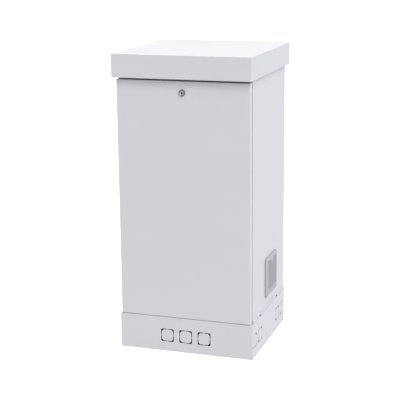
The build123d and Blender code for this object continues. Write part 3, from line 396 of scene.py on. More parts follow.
def noise(tree, position, scale, detail=2.0, roughness=0.5):
    values = {"Vector": position, "Scale": scale, "Detail": detail, "Roughness": roughness}
    return put(tree, "ShaderNodeTexNoise", values).outputs["Fac"]


def spread(tree, value, low, high, start=0.0, end=1.0):
    """Map a value that runs from start to end onto the run from low to high."""
    values = {"Value": value, "From Min": start, "From Max": end, "To Min": low, "To Max": high}
    return put(tree, "ShaderNodeMapRange", values).outputs["Result"]


def blend(tree, amount, first, second):
    values = {0: amount, 6: first, 7: second}
    return put(tree, "ShaderNodeMix", values, data_type="RGBA").outputs[2]


def math_node(tree, operation, *values):
    return put(tree, "ShaderNodeMath", dict(enumerate(values)), operation=operation).outputs[0]


def times(tree, first, second):
    return math_node(tree, "MULTIPLY", first, second)


def weighed(tree, first, second, weight):
    """The sum of two values, of which the first has the weight and the second the rest."""
    return math_node(tree, "ADD", times(tree, first, weight), times(tree, second, 1 - weight))


def window(tree, value, low, high):
    """One between two limits and zero outside them."""
    above = math_node(tree, "GREATER_THAN", value, low)
    return times(tree, above, math_node(tree, "LESS_THAN", value, high))


def vector_math(tree, operation, *values):
    made = put(tree, "ShaderNodeVectorMath", dict(enumerate(values)), operation=operation)
    return made.outputs["Value" if operation == "LENGTH" else 0]


def parts(tree, vector):
    """The X, Y and Z of a vector."""
    return put(tree, "ShaderNodeSeparateXYZ", {0: vector}).outputs


def rgba(value, factor=1.0):
    return (*(channel * factor for channel in value), 1.0)


def grey(value):
    return value, value, value, 1.0


def new_group(name, inputs, outputs):
    tree = bpy.data.node_groups.new(name, "ShaderNodeTree")
    for way, sockets in (("INPUT", inputs), ("OUTPUT", outputs)):
        for label, kind in sockets.items():
            tree.interface.new_socket(label, in_out=way, socket_type="NodeSocket" + kind)
    start, end = (tree.nodes.new(kind) for kind in ("NodeGroupInput", "NodeGroupOutput"))
    return tree, start.outputs, end.inputs


def new_material(name="finish"):
    material = bpy.data.materials.new(name)
    material.use_nodes = True
    tree = material.node_tree
    tree.nodes.clear()
    shader = put(tree, "ShaderNodeBsdfPrincipled")
    put(tree, "ShaderNodeOutputMaterial", {"Surface": shader.outputs[0]})
    return material, tree, shader, put(tree, "ShaderNodeTexCoord").outputs["Object"]


def position_in(tree):
    return tree.nodes["Texture Coordinate"].outputs["Object"]


# Skins that several finishes share
SURFACE = {"Colour": "Color", "Roughness": "Float", "Height": "Float"}
NOISE_RANGE = 0.3, 0.7  # where most values of a noise lie
GRAIN_FINENESS = 4.3  # grains across one wave of a skin
ZINC_FINENESS = 14.0  # grains across one crystal of zinc
ZINC_WARP = 0.004, 0.004, 0.004  # how far the edges of the crystals wander
ZINC_DARK = 0.72  # darkest crystal, as a share of the lightest


def grain_group():
    """A sprayed or moulded skin: waves, a finer grain and slow drifts of tone and gloss."""
    inputs = {"Position": "Vector", "Light": "Color", "Dark": "Color", "Waves": "Float",
              "Drift": "Float", "Smooth": "Float", "Rough": "Float"}
    tree, start, end = new_group("Grained skin", inputs, SURFACE)
    waves = noise(tree, start["Position"], start["Waves"])
    fine = noise(tree, start["Position"], times(tree, start["Waves"], GRAIN_FINENESS), detail=1.0)
    drift = noise(tree, start["Position"], start["Drift"], detail=3.0)
    tone = spread(tree, weighed(tree, drift, fine, 0.7), 0, 1, *NOISE_RANGE)
    gloss = weighed(tree, drift, waves, 0.5)
    wire(tree, end, {
        "Colour": blend(tree, tone, start["Dark"], start["Light"]),
        "Roughness": spread(tree, gloss, start["Smooth"], start["Rough"], *NOISE_RANGE),
        "Height": weighed(tree, waves, fine, 0.75),
    })
    return tree


def spangle_group():
    """Zinc crystals of different brightness, with a faint grain."""
    inputs = {"Position": "Vector", "Light": "Color", "Dark": "Color", "Scale": "Float"}
    tree, start, end = new_group("Zinc spangle", inputs, SURFACE)
    place = {"Vector": start["Position"], "Scale": start["Scale"]}
    warp = put(tree, "ShaderNodeTexNoise", {**place, "Detail": 2.0}).outputs["Color"]
    warp = vector_math(tree, "MULTIPLY", warp, ZINC_WARP)
    place["Vector"] = vector_math(tree, "ADD", start["Position"], warp)
    crystals = put(tree, "ShaderNodeTexVoronoi", place).outputs["Color"]
    value = put(tree, "ShaderNodeSeparateColor", {0: crystals}).outputs[0]
    fine = noise(tree, start["Position"], times(tree, start["Scale"], ZINC_FINENESS))
    tone = weighed(tree, value, fine, 0.7)
    wire(tree, end, {
        "Colour": blend(tree, tone, start["Dark"], start["Light"]),
        "Roughness": spread(tree, tone, 0.52, 0.36),
        "Height": fine,
    })
    return tree


def shared(name, build):
    return bpy.data.node_groups.get(name) or build()


def dress(tree, shader, skin, depth, relief, metallic=0.0):
    """Give the shader a skin's colour, gloss and relief."""
    values = {"Height": skin["Height"], "Distance": depth, "Strength": relief}
    bump = put(tree, "ShaderNodeBump", values).outputs[0]
    wire(tree, shader.inputs, {"Base Color": skin["Colour"], "Roughness": skin["Roughness"],
                               "Normal": bump, "Metallic": metallic})


def grained(light, dark, waves, drift, gloss, depth, relief, metallic=0.0):
    """A grained finish, whose darkest tone is a share of its lightest."""
    material, tree, shader, position = new_material()
    values = {"Position": position, "Light": rgba(light), "Dark": rgba(light, dark),
              "Waves": waves, "Drift": drift, "Smooth": gloss[0], "Rough": gloss[1]}
    group = shared("Grained skin", grain_group)
    skin = put(tree, "ShaderNodeGroup", values, node_tree=group).outputs
    dress(tree, shader, skin, depth, relief, metallic)
    return material


def galvanised(light, width, metallic):
    material, tree, shader, position = new_material()
    values = {"Position": position, "Light": rgba(light), "Dark": rgba(light, ZINC_DARK),
              "Scale": 1 / width}
    group = shared("Zinc spangle", spangle_group)
    skin = put(tree, "ShaderNodeGroup", values, node_tree=group).outputs
    dress(tree, shader, skin, depth=0.00005, relief=0.3, metallic=metallic)
    return material


def moulded(light):
    return grained(light, dark=0.95, waves=1700.0, drift=9.0, gloss=(0.48, 0.6),
                   depth=0.00005, relief=0.3)


def overlaid(material, mask, shade):
    """Lay a colour over a finish as far as a mask says."""
    tree = material.node_tree
    base = tree.nodes["Principled BSDF"].inputs["Base Color"]
    tree.links.new(blend(tree, mask, base.links[0].from_socket, rgba(shade)), base)
    return material


# Finishes
SEAM_PAINTED_SHADE, LEDGE_PAINTED_SHADE, GAP_PAINTED_SHADE = 0.3, 0.13, 0.8  # how much of the paint the painted shade hides on the seam, the ledge and the seal's gap
RIM_PAINTED_SHADE, CORE_PAINTED_SHADE = 0.45, 0.85  # and how much of the lock's nickel it hides, as painted shade at the rim and round the key slot
PAINTED_SHADE_EDGE = 0.0003  # room on both sides of a face that carries painted shade
PAINTED_SHADE_BAND = 0.003  # how far the painted shade reaches in from an outer face
SEAM_FADE = 0.001, 0.004  # where the seam's painted shade starts to thin and where it ends
SEAL_GAP = 0.0005, 0.0012  # painted shadow before and behind the wall's front edge
FULL_SHADE_DEPTH, SHADE_END_DEPTH = 0.004, 0.0006  # depths behind the louvre cover's face where the painted shade between the slats is full and where it ends


def powder_coat(look):
    """Sprayed paint, with painted shade on the side strips' top ledge, along the seam under them
    and in the gap beside the door seal.
    """
    material = grained(look.coat, dark=0.975, waves=1 / look.peel, drift=1.7,
                       gloss=(0.40, 0.50), depth=0.00006, relief=0.22)
    tree = material.node_tree
    place = parts(tree, position_in(tree))
    side = math_node(tree, "ABSOLUTE", place["X"])
    low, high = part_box("side_strips")
    wall_low, wall_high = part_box("right_side_wall")
    off_seam = math_node(tree, "ABSOLUTE", math_node(tree, "SUBTRACT", place["Z"], low.z))
    seam = times(tree, spread(tree, off_seam, SEAM_PAINTED_SHADE, 0, *SEAM_FADE),
                 math_node(tree, "GREATER_THAN", side, high.x - PAINTED_SHADE_BAND))
    ledge = times(tree, window(tree, side, wall_high.x + PAINTED_SHADE_EDGE, high.x),
                  window(tree, place["Z"], high.z - PAINTED_SHADE_EDGE, high.z + PAINTED_SHADE_EDGE))
    before, behind = SEAL_GAP
    gap = times(tree, window(tree, place["Y"], wall_low.y - before, wall_low.y + behind),
                window(tree, side, wall_high.x - PAINTED_SHADE_BAND, wall_high.x + PAINTED_SHADE_EDGE))
    # painted shade: darkens the seam under the side strips, their top ledge and the gap beside the
    # door seal
    grime = math_node(tree, "MAXIMUM", seam, times(tree, ledge, LEDGE_PAINTED_SHADE))
    grime = math_node(tree, "MAXIMUM", grime, times(tree, gap, GAP_PAINTED_SHADE))
    return overlaid(material, grime, look.grime)


def turned_nickel(look):
    """Satin nickel with fine turning rings, with painted shade at its rim and round the key slot.
    """
    material, tree, shader, position = new_material()
    low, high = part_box("lock_housing")
    radius = (high.x - low.x) / 2
    centred = vector_math(tree, "SUBTRACT", position, (low + high) / 2)
    values = {"Vector": centred, "Scale": 420.0, "Distortion": 1.5, "Detail": 2.0}
    rings = put(tree, "ShaderNodeTexWave", values, wave_type="RINGS", rings_direction="Y")
    rings = rings.outputs["Fac"]
    out = vector_math(tree, "LENGTH", vector_math(tree, "MULTIPLY", centred, (1, 0, 1)))
    # painted shade: darkens the flange's rim and the surround of the key slot
    rim = spread(tree, out, 0, RIM_PAINTED_SHADE, radius * 0.68, radius * 0.8)
    core = spread(tree, out, CORE_PAINTED_SHADE, 0, radius * 0.16, radius * 0.26)
    metal = blend(tree, rings, rgba(look.nickel, 0.85), rgba(look.nickel))
    skin = {
        "Colour": blend(tree, math_node(tree, "MAXIMUM", rim, core), metal, rgba(look.grime)),
        "Roughness": spread(tree, rings, 0.42, 0.30),
        "Height": rings,
    }
    dress(tree, shader, skin, depth=0.00004, relief=0.3, metallic=0.9)
    return material


def louvre_plastic(look):
    """Moulded plastic with painted shade deep between the slats."""
    material = moulded(look.plastic)
    tree = material.node_tree
    place = parts(tree, position_in(tree))
    low, high = opening_of(*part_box("louvre_cover"), bpy.context.scene.cabinet_pieces)
    field = times(tree, window(tree, place["Y"], low.y, high.y),
                  window(tree, place["Z"], low.z, high.z))
    # painted shade: darker the deeper the point lies behind the cover's face
    deep = spread(tree, place["X"], 1, 0, high.x - FULL_SHADE_DEPTH, high.x - SHADE_END_DEPTH)
    return overlaid(material, times(tree, field, deep), look.dust)


def fleece(look):
    """Loose white fibres with deeper hollows between them."""
    material, tree, shader, position = new_material()
    stretched = put(tree, "ShaderNodeMapping", {"Vector": position, "Scale": (1.0, 1.0, 0.35)})
    fibres = noise(tree, stretched.outputs[0], 900.0, detail=4.0, roughness=0.7)
    across = noise(tree, position, 380.0, detail=5.0, roughness=0.75)
    mesh = math_node(tree, "MAXIMUM", fibres, across)
    tone = spread(tree, mesh, 0, 1, 0.35, 0.75)
    skin = {
        "Colour": blend(tree, tone, rgba(look.fleece, 0.55), rgba(look.fleece)),
        "Roughness": spread(tree, tone, 1.0, 0.85),
        "Height": mesh,
    }
    dress(tree, shader, skin, depth=0.0012, relief=0.8)
    return material


FINISHES = {
    "powder_coat": powder_coat,
    "zinc_sheet": lambda look: galvanised(look.zinc, look.spangle, 0.85),
    "bright_steel": lambda look: galvanised(look.plating, look.spangle / 6, 0.95),
    "dark_steel": lambda look: grained(
        look.black_oxide, dark=0.7, waves=900.0, drift=60.0, gloss=(0.35, 0.5),
        depth=0.00003, relief=0.3, metallic=0.6,
    ),
    "lock_nickel": turned_nickel,
    "black_rubber": lambda look: grained(
        look.rubber, dark=0.75, waves=1500.0, drift=25.0, gloss=(0.62, 0.8),
        depth=0.00008, relief=0.35,
    ),
    "grey_plastic": louvre_plastic,
    "frame_plastic": lambda look: moulded(look.frame_plastic),
    "filter_fleece": fleece,
    "black_plastic": lambda look: grained(
        look.fan, dark=0.8, waves=1300.0, drift=12.0, gloss=(0.38, 0.5),
        depth=0.00004, relief=0.3,
    ),
}


def finish(slot):
    """The material of one of the record's slots, made when it is first asked for."""
    material = bpy.data.materials.get(slot + "_finish")
    if material is None:
        material = FINISHES[slot](bpy.context.scene.cabinet_finish)
        material.name = slot + "_finish"
    return material


# Painted and zinc sheets
class CABINET_OT_sheets(Operator):
    """Give the folded sheets and the hardware that stays as built their finishes"""

    bl_idname = "cabinet.sheets"
    bl_label = "Sheets and hardware"

    def execute(self, context):
        for node, slot in SLOTS.items():
            materials = frame["nodes"][node].data.materials
            materials.clear()
            materials.append(finish(slot))
        return {"FINISHED"}


# Screws, nuts, bolts and studs
FACING = 0.9  # a face whose normal passes this looks along an axis


def hexagon_side(corners, at, way):
    """The direction from a six-sided piece's axis to one of its corners."""
    spokes = spokes_of(corners, at, way)
    return max(spokes, key=lambda spoke: round(spoke.length, 6)).normalized()


def seat_of(corners, run):
    """Head and shank of a CAD screw or bolt, its seat, and the way that its head points."""
    centre = middle_of(corners)
    levels = [corner.dot(run) for corner in corners]
    radii = [spoke.length for spoke in spokes_of(corners, centre, run)]
    head_r = max(radii)
    head = [level for level, radius in zip(levels, radii) if radius > head_r - TINY]
    forward = max(levels) - max(head) < min(head) - min(levels)
    seat, tip = (min(head), min(levels)) if forward else (max(head), max(levels))
    shank_r = max(radius for level, radius in zip(levels, radii) if abs(level - tip) < TINY)
    at = centre + run * (seat - centre.dot(run))
    sizes = head_r, max(head) - min(head), shank_r, abs(seat - tip)
    return sizes, at, run if forward else -run


def screw_sizes(corners, run):
    sizes, at, way = seat_of(corners, run)
    return sizes, along(way, at)


def bolt_sizes(corners, run):
    sizes, at, way = seat_of(corners, run)
    return sizes, along(way, at, hexagon_side(corners, at, way))


def foot_of(corners, run):
    """Foot of a CAD nut or stud on its axis, its height, and how far out its corners lie."""
    levels = [corner.dot(run) for corner in corners]
    centre = middle_of(corners)
    foot = centre + run * (min(levels) - centre.dot(run))
    radii = [spoke.length for spoke in spokes_of(corners, foot, run)]
    return foot, max(levels) - min(levels), radii


def nut_sizes(corners, run):
    foot, height, radii = foot_of(corners, run)
    return (max(radii), min(radii), height), along(run, foot, hexagon_side(corners, foot, run))


def stud_sizes(corners, run):
    foot, height, radii = foot_of(corners, run)
    return (max(radii), height), Matrix.Translation(foot)


def model_screw(head_r, head_h, shank_r, length):
    """A domed head with a six-sided socket, and a shank with a pointed tip."""
    screw = bar("screw", 32, head_r, 0, head_h)
    edit(screw)
    pick(screw, "FACE", lambda face: face.normal.z < -FACING)
    bpy.ops.mesh.inset(thickness=head_r - shank_r)
    extrude(z=-length)
    bpy.ops.mesh.bevel(offset=shank_r * 0.35, segments=1)
    pick(screw, "EDGE", lambda edge: all(vert.co.z > head_h - TINY for vert in edge.verts))
    bevel(head_h * 0.75, 5)
    socket_r = head_r * bpy.context.scene.cabinet_pieces.socket
    combine(screw, bar("socket", 6, socket_r, head_h * 0.4, head_h * 1.6), "DIFFERENCE")
    return smooth(screw)


def model_flat_screw(head_r, _, shank_r, length):
    """A countersunk screw with a six-sided socket; its face lies on the level at zero."""
    cone = head_r - shank_r
    edge = cone * 0.1
    screw = turned("flat_screw", [
        (0, 0), (head_r - edge, 0), (head_r, -edge), (shank_r, -cone),
        (shank_r, shank_r - length), (shank_r * 0.6, -length), (0, -length),
    ], 32)
    socket_r = head_r * bpy.context.scene.cabinet_pieces.socket
    combine(screw, bar("socket", 6, socket_r, -cone * 0.8, cone), "DIFFERENCE")
    return smooth(screw)


def rounded_hexagon(name, corner_r, low, high):
    """A six-sided bar whose corners are turned off at both ends."""
    flats = corner_r * math.cos(math.pi / 6)
    edge = corner_r - flats
    lead = edge * 0.6
    inner, outer = flats - edge, corner_r + edge
    cone = turned("turning", [
        (0, low - lead), (inner, low - lead), (outer, low + 2 * lead),
        (outer, high - 2 * lead), (inner, high + lead), (0, high + lead),
    ], 50)
    hexagon = bar(name, 6, corner_r, low, high)
    combine(hexagon, cone, "INTERSECT")
    return hexagon


def model_nut(corner_r, bore_r, height):
    nut = rounded_hexagon("nut", corner_r, 0, height)
    combine(nut, bar("hole", 32, bore_r, -height, 2 * height), "DIFFERENCE")
    edit(nut)
    pick(nut, "EDGE", lambda edge: span(edge).z < TINY
         and all(abs(vert.co.xy.length - bore_r) < TINY for vert in edge.verts))
    bevel(bore_r * 0.1, 1)
    return smooth(nut)


def model_bolt(corner_r, head_h, shank_r, length):
    """A six-sided head above the level at zero and a shank with a chamfered tip below it."""
    bolt = rounded_hexagon("bolt", corner_r, 0, head_h)
    tip = shank_r * 0.3
    shank = turned("shank", [
        (0, head_h / 2), (shank_r, head_h / 2), (shank_r, tip - length),
        (shank_r - tip, -length), (0, -length),
    ], 32)
    combine(bolt, shank, "UNION")
    return smooth(bolt)


def model_stud(radius, length):
    """A threaded rod that stands on the level at zero."""
    pitch = radius * bpy.context.scene.cabinet_pieces.thread
    root = radius * 0.88
    outline = [(0, 0), (root, 0)]
    for number in range(int(length / pitch)):
        outline += [(radius, (number + 0.4) * pitch), (radius, (number + 0.6) * pitch),
                    (root, (number + 1) * pitch)]
    outline += [(root * 0.9, length), (0, length)]
    stud = turned("stud", outline, 20)
    return smooth(stud, 25)


def fasten(table):
    """Model each node's fastener once and copy it to all of its places, as one piece."""
    for node, ((measure, model, ending), axis, body) in table.items():
        made = [measure(corners, AXES[axis]) for corners in solids_of(node)]
        pattern = model(*made[0][0])
        copies = [copied(pattern, place) for _, place in made]
        bpy.data.objects.remove(pattern)
        placed(joined(node + ending, copies), node, body)


ROUND_SCREW = screw_sizes, model_screw, "_socketed"
FLAT_SCREW = screw_sizes, model_flat_screw, "_socketed"
NUT = nut_sizes, model_nut, "_turned"
BOLT = bolt_sizes, model_bolt, "_turned"
STUD = stud_sizes, model_stud, "_threaded"
SCREWS = {
    "side_screws": (ROUND_SCREW, "x", "cabinet"),
    "rear_panel_screws": (ROUND_SCREW, "y", "cabinet"),
    "top_pan_screws": (ROUND_SCREW, "z", "cabinet"),
    "door_panel_screws": (ROUND_SCREW, "y", "door"),
    "cable_plate_screws": (ROUND_SCREW, "z", "cabinet"),
    "post_screws": (ROUND_SCREW, "x", "cabinet"),
    "fan_screws": (ROUND_SCREW, "x", "cabinet"),
    "hinge_screws": (FLAT_SCREW, "y", "cabinet"),
}
FASTENERS = {
    "plinth_nuts": (NUT, "z", "cabinet"),
    "roof_nuts": (NUT, "z", "cabinet"),
    "earth_nut": (NUT, "z", "cabinet"),
    "lock_nut": (NUT, "y", "door"),
    "plinth_bolts": (BOLT, "z", "cabinet"),
    "lock_cam_bolt": (BOLT, "y", "lock"),
    "roof_studs": (STUD, "z", "cabinet"),
    "earth_stud": (STUD, "z", "cabinet"),
}


class CABINET_OT_screws(Operator):
    """Model the socket screws of the panels, plate, posts, hinges and fan"""

    bl_idname = "cabinet.screws"
    bl_label = "Screws"

    def execute(self, context):
        fasten(SCREWS)
        return {"FINISHED"}


class CABINET_OT_fasteners(Operator):
    """Model the six-sided nuts and bolts and the threaded studs"""

    bl_idname = "cabinet.fasteners"
    bl_label = "Nuts, bolts and studs"

    def execute(self, context):
        fasten(FASTENERS)
        return {"FINISHED"}


# Door seal
class CABINET_OT_seal(Operator):
    """Model the rounded rubber seal round the door opening"""

    bl_idname = "cabinet.seal"
    bl_label = "Door seal"

    def execute(self, context):
        sizes = context.scene.cabinet_pieces
        low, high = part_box("door_gasket")
        at = (low + high) / 2
        seal = sheet("door_seal", (high.x - low.x, high.z - low.z), (at.x, high.y, at.z),
                     (QUARTER_TURN, 0, 0))
        edit(seal)
        bevel(sizes.seal_corner, 8, "VERTICES")
        select_all()
        bpy.ops.mesh.inset(thickness=sizes.seal_width)
        bpy.ops.mesh.delete(type="FACE")
        select_all()
        extrude(y=low.y - high.y)

        def front_edge(edge):
            if len(edge.link_faces) != 2 or any(vert.co.y > low.y + TINY for vert in edge.verts):
                return False
            first, second = edge.link_faces
            return abs(first.normal.y - second.normal.y) > 0.5

        pick(seal, "EDGE", front_edge)
        bevel((high.y - low.y) * 0.3, 4)
        outward(seal)
        smooth(seal, 50)
        placed(seal, "door_gasket", "cabinet")
        return {"FINISHED"}


# Lock
ROUND_STEPS = 64  # faces round the lock
LOCK_FIT = 0.00005  # room between the plug and its bore


def model_flange(low, high, bore, barrel):
    """The lock's turned flange with a groove round its face, and the barrel behind it."""
    radius = (high.x - low.x) / 2
    face, back = -low.y, -high.y
    door = -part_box("front_door")[0].y
    groove = bore + (radius - bore) * 0.42
    chamfer, floor, lip, shoulder, fall = 0.0005, 0.0003, 0.0006, 0.0013, 0.0001
    edge, edge_low, edge_high = 0.0004, 0.0016, 0.0022
    flange = turned("lock_flange", [
        (bore, face - chamfer), (bore + chamfer, face), (groove - lip, face),
        (groove - floor, face - chamfer), (groove + floor, face - chamfer),
        (groove + lip, face - fall), (groove + shoulder, face - 2 * fall),
        (radius - edge, door + edge_high), (radius, door + edge_low), (radius, door),
        (barrel, door), (barrel, back), (bore, back), (bore, face - chamfer),
    ], ROUND_STEPS)
    return smooth(flange, 25)


def model_plug(low, high, back, radius, sizes):
    """The key plug with its dished face, key slot, square tail and bolt hole."""
    face, end = -low.y, -high.y
    dish, chamfer, bolt_room = 0.0009, 0.0004, 0.0003
    plug = turned("lock_key_plug", [
        (0, face - dish), (radius * 0.62, face - dish), (radius * 0.74, face),
        (radius - chamfer, face), (radius, face - chamfer), (radius, back), (0, back),
    ], ROUND_STEPS)
    top, width = back + OVERLAP, sizes.lock_tail
    combine(plug, brick("tail", (width, width, top - end), (0, 0, (top + end) / 2)), "UNION")
    size = (sizes.key_slot_length, sizes.key_slot_width, 2 * sizes.key_slot_depth)
    slot = brick("slot", size, (0, 0, face))
    edit(slot)
    pick(slot, "EDGE", lambda edge: span(edge).z > TINY)
    bevel(sizes.key_slot_width * 0.45, 5)
    combine(plug, slot, "DIFFERENCE")
    hole = bar("bolt_hole", 32, sizes.cam_bolt + bolt_room, end - OVERLAP,
               end + sizes.cam_bolt_length)
    combine(plug, hole, "DIFFERENCE")
    return smooth(plug, 25)


class CABINET_OT_lock(Operator):
    """Model the lock's turned flange and its key plug"""

    bl_idname = "cabinet.lock"
    bl_label = "Lock"

    def execute(self, context):
        sizes = context.scene.cabinet_pieces
        low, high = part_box("lock_housing")
        plug_low, plug_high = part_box("lock_plug")
        place = along((0, -1, 0), Vector(((low.x + high.x) / 2, 0, (low.z + high.z) / 2)))
        plug_r = (plug_high.x - plug_low.x) / 2
        flange = model_flange(low, high, plug_r + LOCK_FIT, sizes.lock_barrel)
        placed(moved(flange, place), "lock_housing", "door")
        plug = model_plug(plug_low, plug_high, -high.y, plug_r - LOCK_FIT, sizes)
        placed(moved(plug, place), "lock_plug", "lock")
        return {"FINISHED"}


# Cable grommets
def model_grommet(corners, sizes):
    """A grommet with a lip on both sides of its plate and a skin that rises in rings."""
    plate_low, plate_high = (corner.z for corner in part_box("cable_entry_plate"))
    low, high = (limit(corner.z for corner in corners) for limit in (min, max))
    centre = middle_of(corners)
    lip = max((corner.xy - centre.xy).length for corner in corners)
    neck, bowl = lip * sizes.grommet_neck, lip * sizes.grommet_bowl
    edge = (high - plate_high) * 0.3
    half = edge * 0.5
    outline = [
        (0, low), (lip - edge, low), (lip, low + edge), (lip, plate_low - half),
        (lip - half, plate_low), (neck, plate_low), (neck, plate_high),
        (lip - half, plate_high), (lip, plate_high + half), (lip, high - edge),
        (lip - edge, high), (bowl + edge, high), (bowl, high - edge),
    ]
    skin, rise, knob_side, knob_top = 0.0012, 0.0009, 0.0034, 0.0038
    level, step = low + skin, bowl / 5
    for ring in range(4):
        height = level + ring * rise
        outline += [(bowl - ring * step, height), (bowl - (ring + 0.8) * step, height)]
    outline += [(step * 0.9, level + knob_side), (step * 0.5, level + knob_top),
                (0, level + knob_top)]
    return moved(turned("grommet", outline), Matrix.Translation((centre.x, centre.y, 0)))


class CABINET_OT_grommets(Operator):
    """Model the rubber grommets with their stepped skins"""

    bl_idname = "cabinet.grommets"
    bl_label = "Cable grommets"

    def execute(self, context):
        sizes = context.scene.cabinet_pieces
        copies = [model_grommet(corners, sizes) for corners in solids_of("cable_grommets")]
        grommets = joined("rubber_grommets", copies)
        smooth(grommets, 40)
        placed(grommets, "cable_grommets", "cabinet")
        return {"FINISHED"}


# Filter
SLAT_SET_BACK = 0.0004  # keeps the slats behind the cover's face
SLAT_ROOT = 0.002  # how far the slats run into the cover's sides, both together
TAB_SET_BACK = 0.0002  # keeps the tab behind the cover's face
TAB_ROOT = 0.001  # how far the tab runs into the cover's rim
TAB_POINT = 0.04  # width of the tab's point, as a share of the tab
TAB_ROUNDING = 0.0125  # rounding of the tab's edges, as a share of its width
COVER_ROUNDING = 0.0004
FLEECE_SIZE = 0.97  # size of the fleece before its lumps, as a share of its room


def model_border(low, high, sizes):
    """The cover's sloped border."""
    at = (low + high) / 2
    width = high.y - low.y
    border = sheet("louvre_border", (width, width), (low.x, at.y, at.z), (0, QUARTER_TURN, 0))
    edit(border)
    extrude(x=sizes.cover_edge)
    bpy.ops.mesh.inset(thickness=sizes.cover_slope, depth=high.x - low.x - sizes.cover_edge)
    outward(border)
    trim = brick("trim", (width, width, width), at)
    edit(trim)
    pick(trim, "EDGE", lambda edge: span(edge).x > TINY)
    bevel(sizes.cover_corner, 6)
    combine(border, trim, "INTERSECT")
    return border


def opening_of(low, high, sizes):
    """The lowest and highest corner of the field of slats."""
    side = sizes.cover_slope + sizes.cover_rim
    bottom = sizes.cover_slope + sizes.cover_sill
    return (Vector((low.x, low.y + side, low.z + bottom)),
            Vector((high.x, high.y - side, high.z - side)))


def model_slats(low, high, sizes):
    """Slats that run down and outwards, one below the other."""
    depth = high.x - low.x + sizes.slat_reach
    middle = (low.x + high.x - sizes.slat_reach) / 2
    size = (depth - SLAT_SET_BACK, high.y - low.y + SLAT_ROOT, sizes.slat)
    slat = brick("slat", size, (middle, (low.y + high.y) / 2, high.z))
    edit(slat)
    pick(slat, "FACE", lambda face: face.normal.x > FACING)
    bpy.ops.transform.translate(value=(0, 0, -depth))
    pick(slat, "EDGE", lambda edge: span(edge).y > depth
         and all(vert.co.x > middle for vert in edge.verts))
    bevel(sizes.slat * 0.3, 3)
    rest()
    pitch = (high.z - low.z) / sizes.slats
    places = [Matrix.Translation((0, 0, -pitch * step)) for step in range(sizes.slats)]
    copies = [copied(slat, place) for place in places]
    bpy.data.objects.remove(slat)
    return joined("slats", copies)


def model_tab(high, middle_y, sizes):
    """The pointed pull tab in front of the upper slats."""
    middle_z = high.z - sizes.tab_height / 2
    tab = sheet("tab", (sizes.tab_height, sizes.tab_width),
                (high.x - sizes.tab, middle_y, middle_z), (0, QUARTER_TURN, 0))
    edit(tab)
    pick(tab, "VERT", lambda vert: vert.co.z < middle_z)
    bpy.ops.transform.resize(value=(1, TAB_POINT, 1), center_override=(high.x, middle_y, high.z))
    pick(tab, "VERT", lambda vert: vert.co.z > middle_z)
    bpy.ops.transform.translate(value=(0, 0, TAB_ROOT))
    select_all()
    extrude(x=sizes.tab - TAB_SET_BACK)
    outward(tab)
    soften(tab, sizes.tab_width * TAB_ROUNDING)
    return tab


def model_cover(sizes):
    """The cover's border with its slats and pull tab in one piece."""
    low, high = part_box("louvre_cover")
    cover = model_border(low, high, sizes)
    low, high = opening_of(low, high, sizes)
    size = (high.x, high.y - low.y, high.z - low.z)
    combine(cover, brick("opening", size, (low + high) / 2), "DIFFERENCE")
    soften(cover, COVER_ROUNDING)
    slats = model_slats(low, high, sizes)
    combine(slats, model_tab(high, (low.y + high.y) / 2, sizes), "UNION")
    combine(cover, slats, "UNION")
    cover.name = "louvred_cover"
    return smooth(cover, 40)


def model_fleece():
    """A soft mat with lumps, inside the room that the CAD gives it."""
    low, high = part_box("filter_mat")
    mat = brick("fleece_mat", [side * FLEECE_SIZE for side in high - low], (low + high) / 2)
    soften(mat, 0.003, 3)
    edit(mat)
    bpy.ops.mesh.subdivide(number_cuts=28)
    rest()
    lumps = bpy.data.textures.new("fleece_lumps", "CLOUDS")
    lumps.noise_scale = 0.012
    modify(mat, "DISPLACE", texture=lumps, texture_coords="LOCAL", strength=0.0016, mid_level=0.85)
    return smooth(mat, 80)


class CABINET_OT_filter(Operator):
    """Model the louvre cover and the fleece behind it"""

    bl_idname = "cabinet.filter"
    bl_label = "Filter"

    def execute(self, context):
        cover = model_cover(context.scene.cabinet_pieces)
        placed(cover, "louvre_cover", "filter_cover")
        mat = model_fleece()
        placed(mat, "filter_mat", "cabinet")
        return {"FINISHED"}


# Fan
BLADE_ROOT = 0.002  # how far a blade starts inside the hub
BLADE_TIP = 0.004  # how far it runs past the sweep before it is trimmed
BLADE_CUTS = 7  # cuts along a blade that let it twist


def model_hub(low, high, sizes):
    """The impeller's shaft and its cup-shaped hub, between two levels."""
    hub, shaft = sizes.fan_hub, sizes.fan_shaft
    start = high - sizes.fan_depth
    chamfer, nose, bend, dish = 0.001, 0.004, 0.0012, 0.0008
    return turned("fan_rotor", [
        (0, low), (shaft, low), (shaft, start), (hub - chamfer, start), (hub, start + chamfer),
        (hub, high - nose), (hub - bend, high - bend), (hub - nose, high),
        (hub * 0.55, high), (hub * 0.5, high - dish), (0, high - dish),
    ])


def model_blade(radius, sizes):
    """A twisted blade that points along Y."""
    root, tip = sizes.fan_hub - BLADE_ROOT, radius + BLADE_TIP
    size = (sizes.blade, tip - root, sizes.blade_width)
    blade = brick("blade", size, (0, (tip + root) / 2, 0))
    edit(blade)
    bpy.ops.mesh.subdivide(number_cuts=BLADE_CUTS)
    modify(blade, "SIMPLE_DEFORM", deform_method="TWIST", deform_axis="Y", angle=sizes.blade_twist)
    edit(blade)
    bpy.ops.transform.rotate(value=sizes.blade_pitch, orient_axis="Y", center_override=(0, 0, 0))
    rest()
    return blade


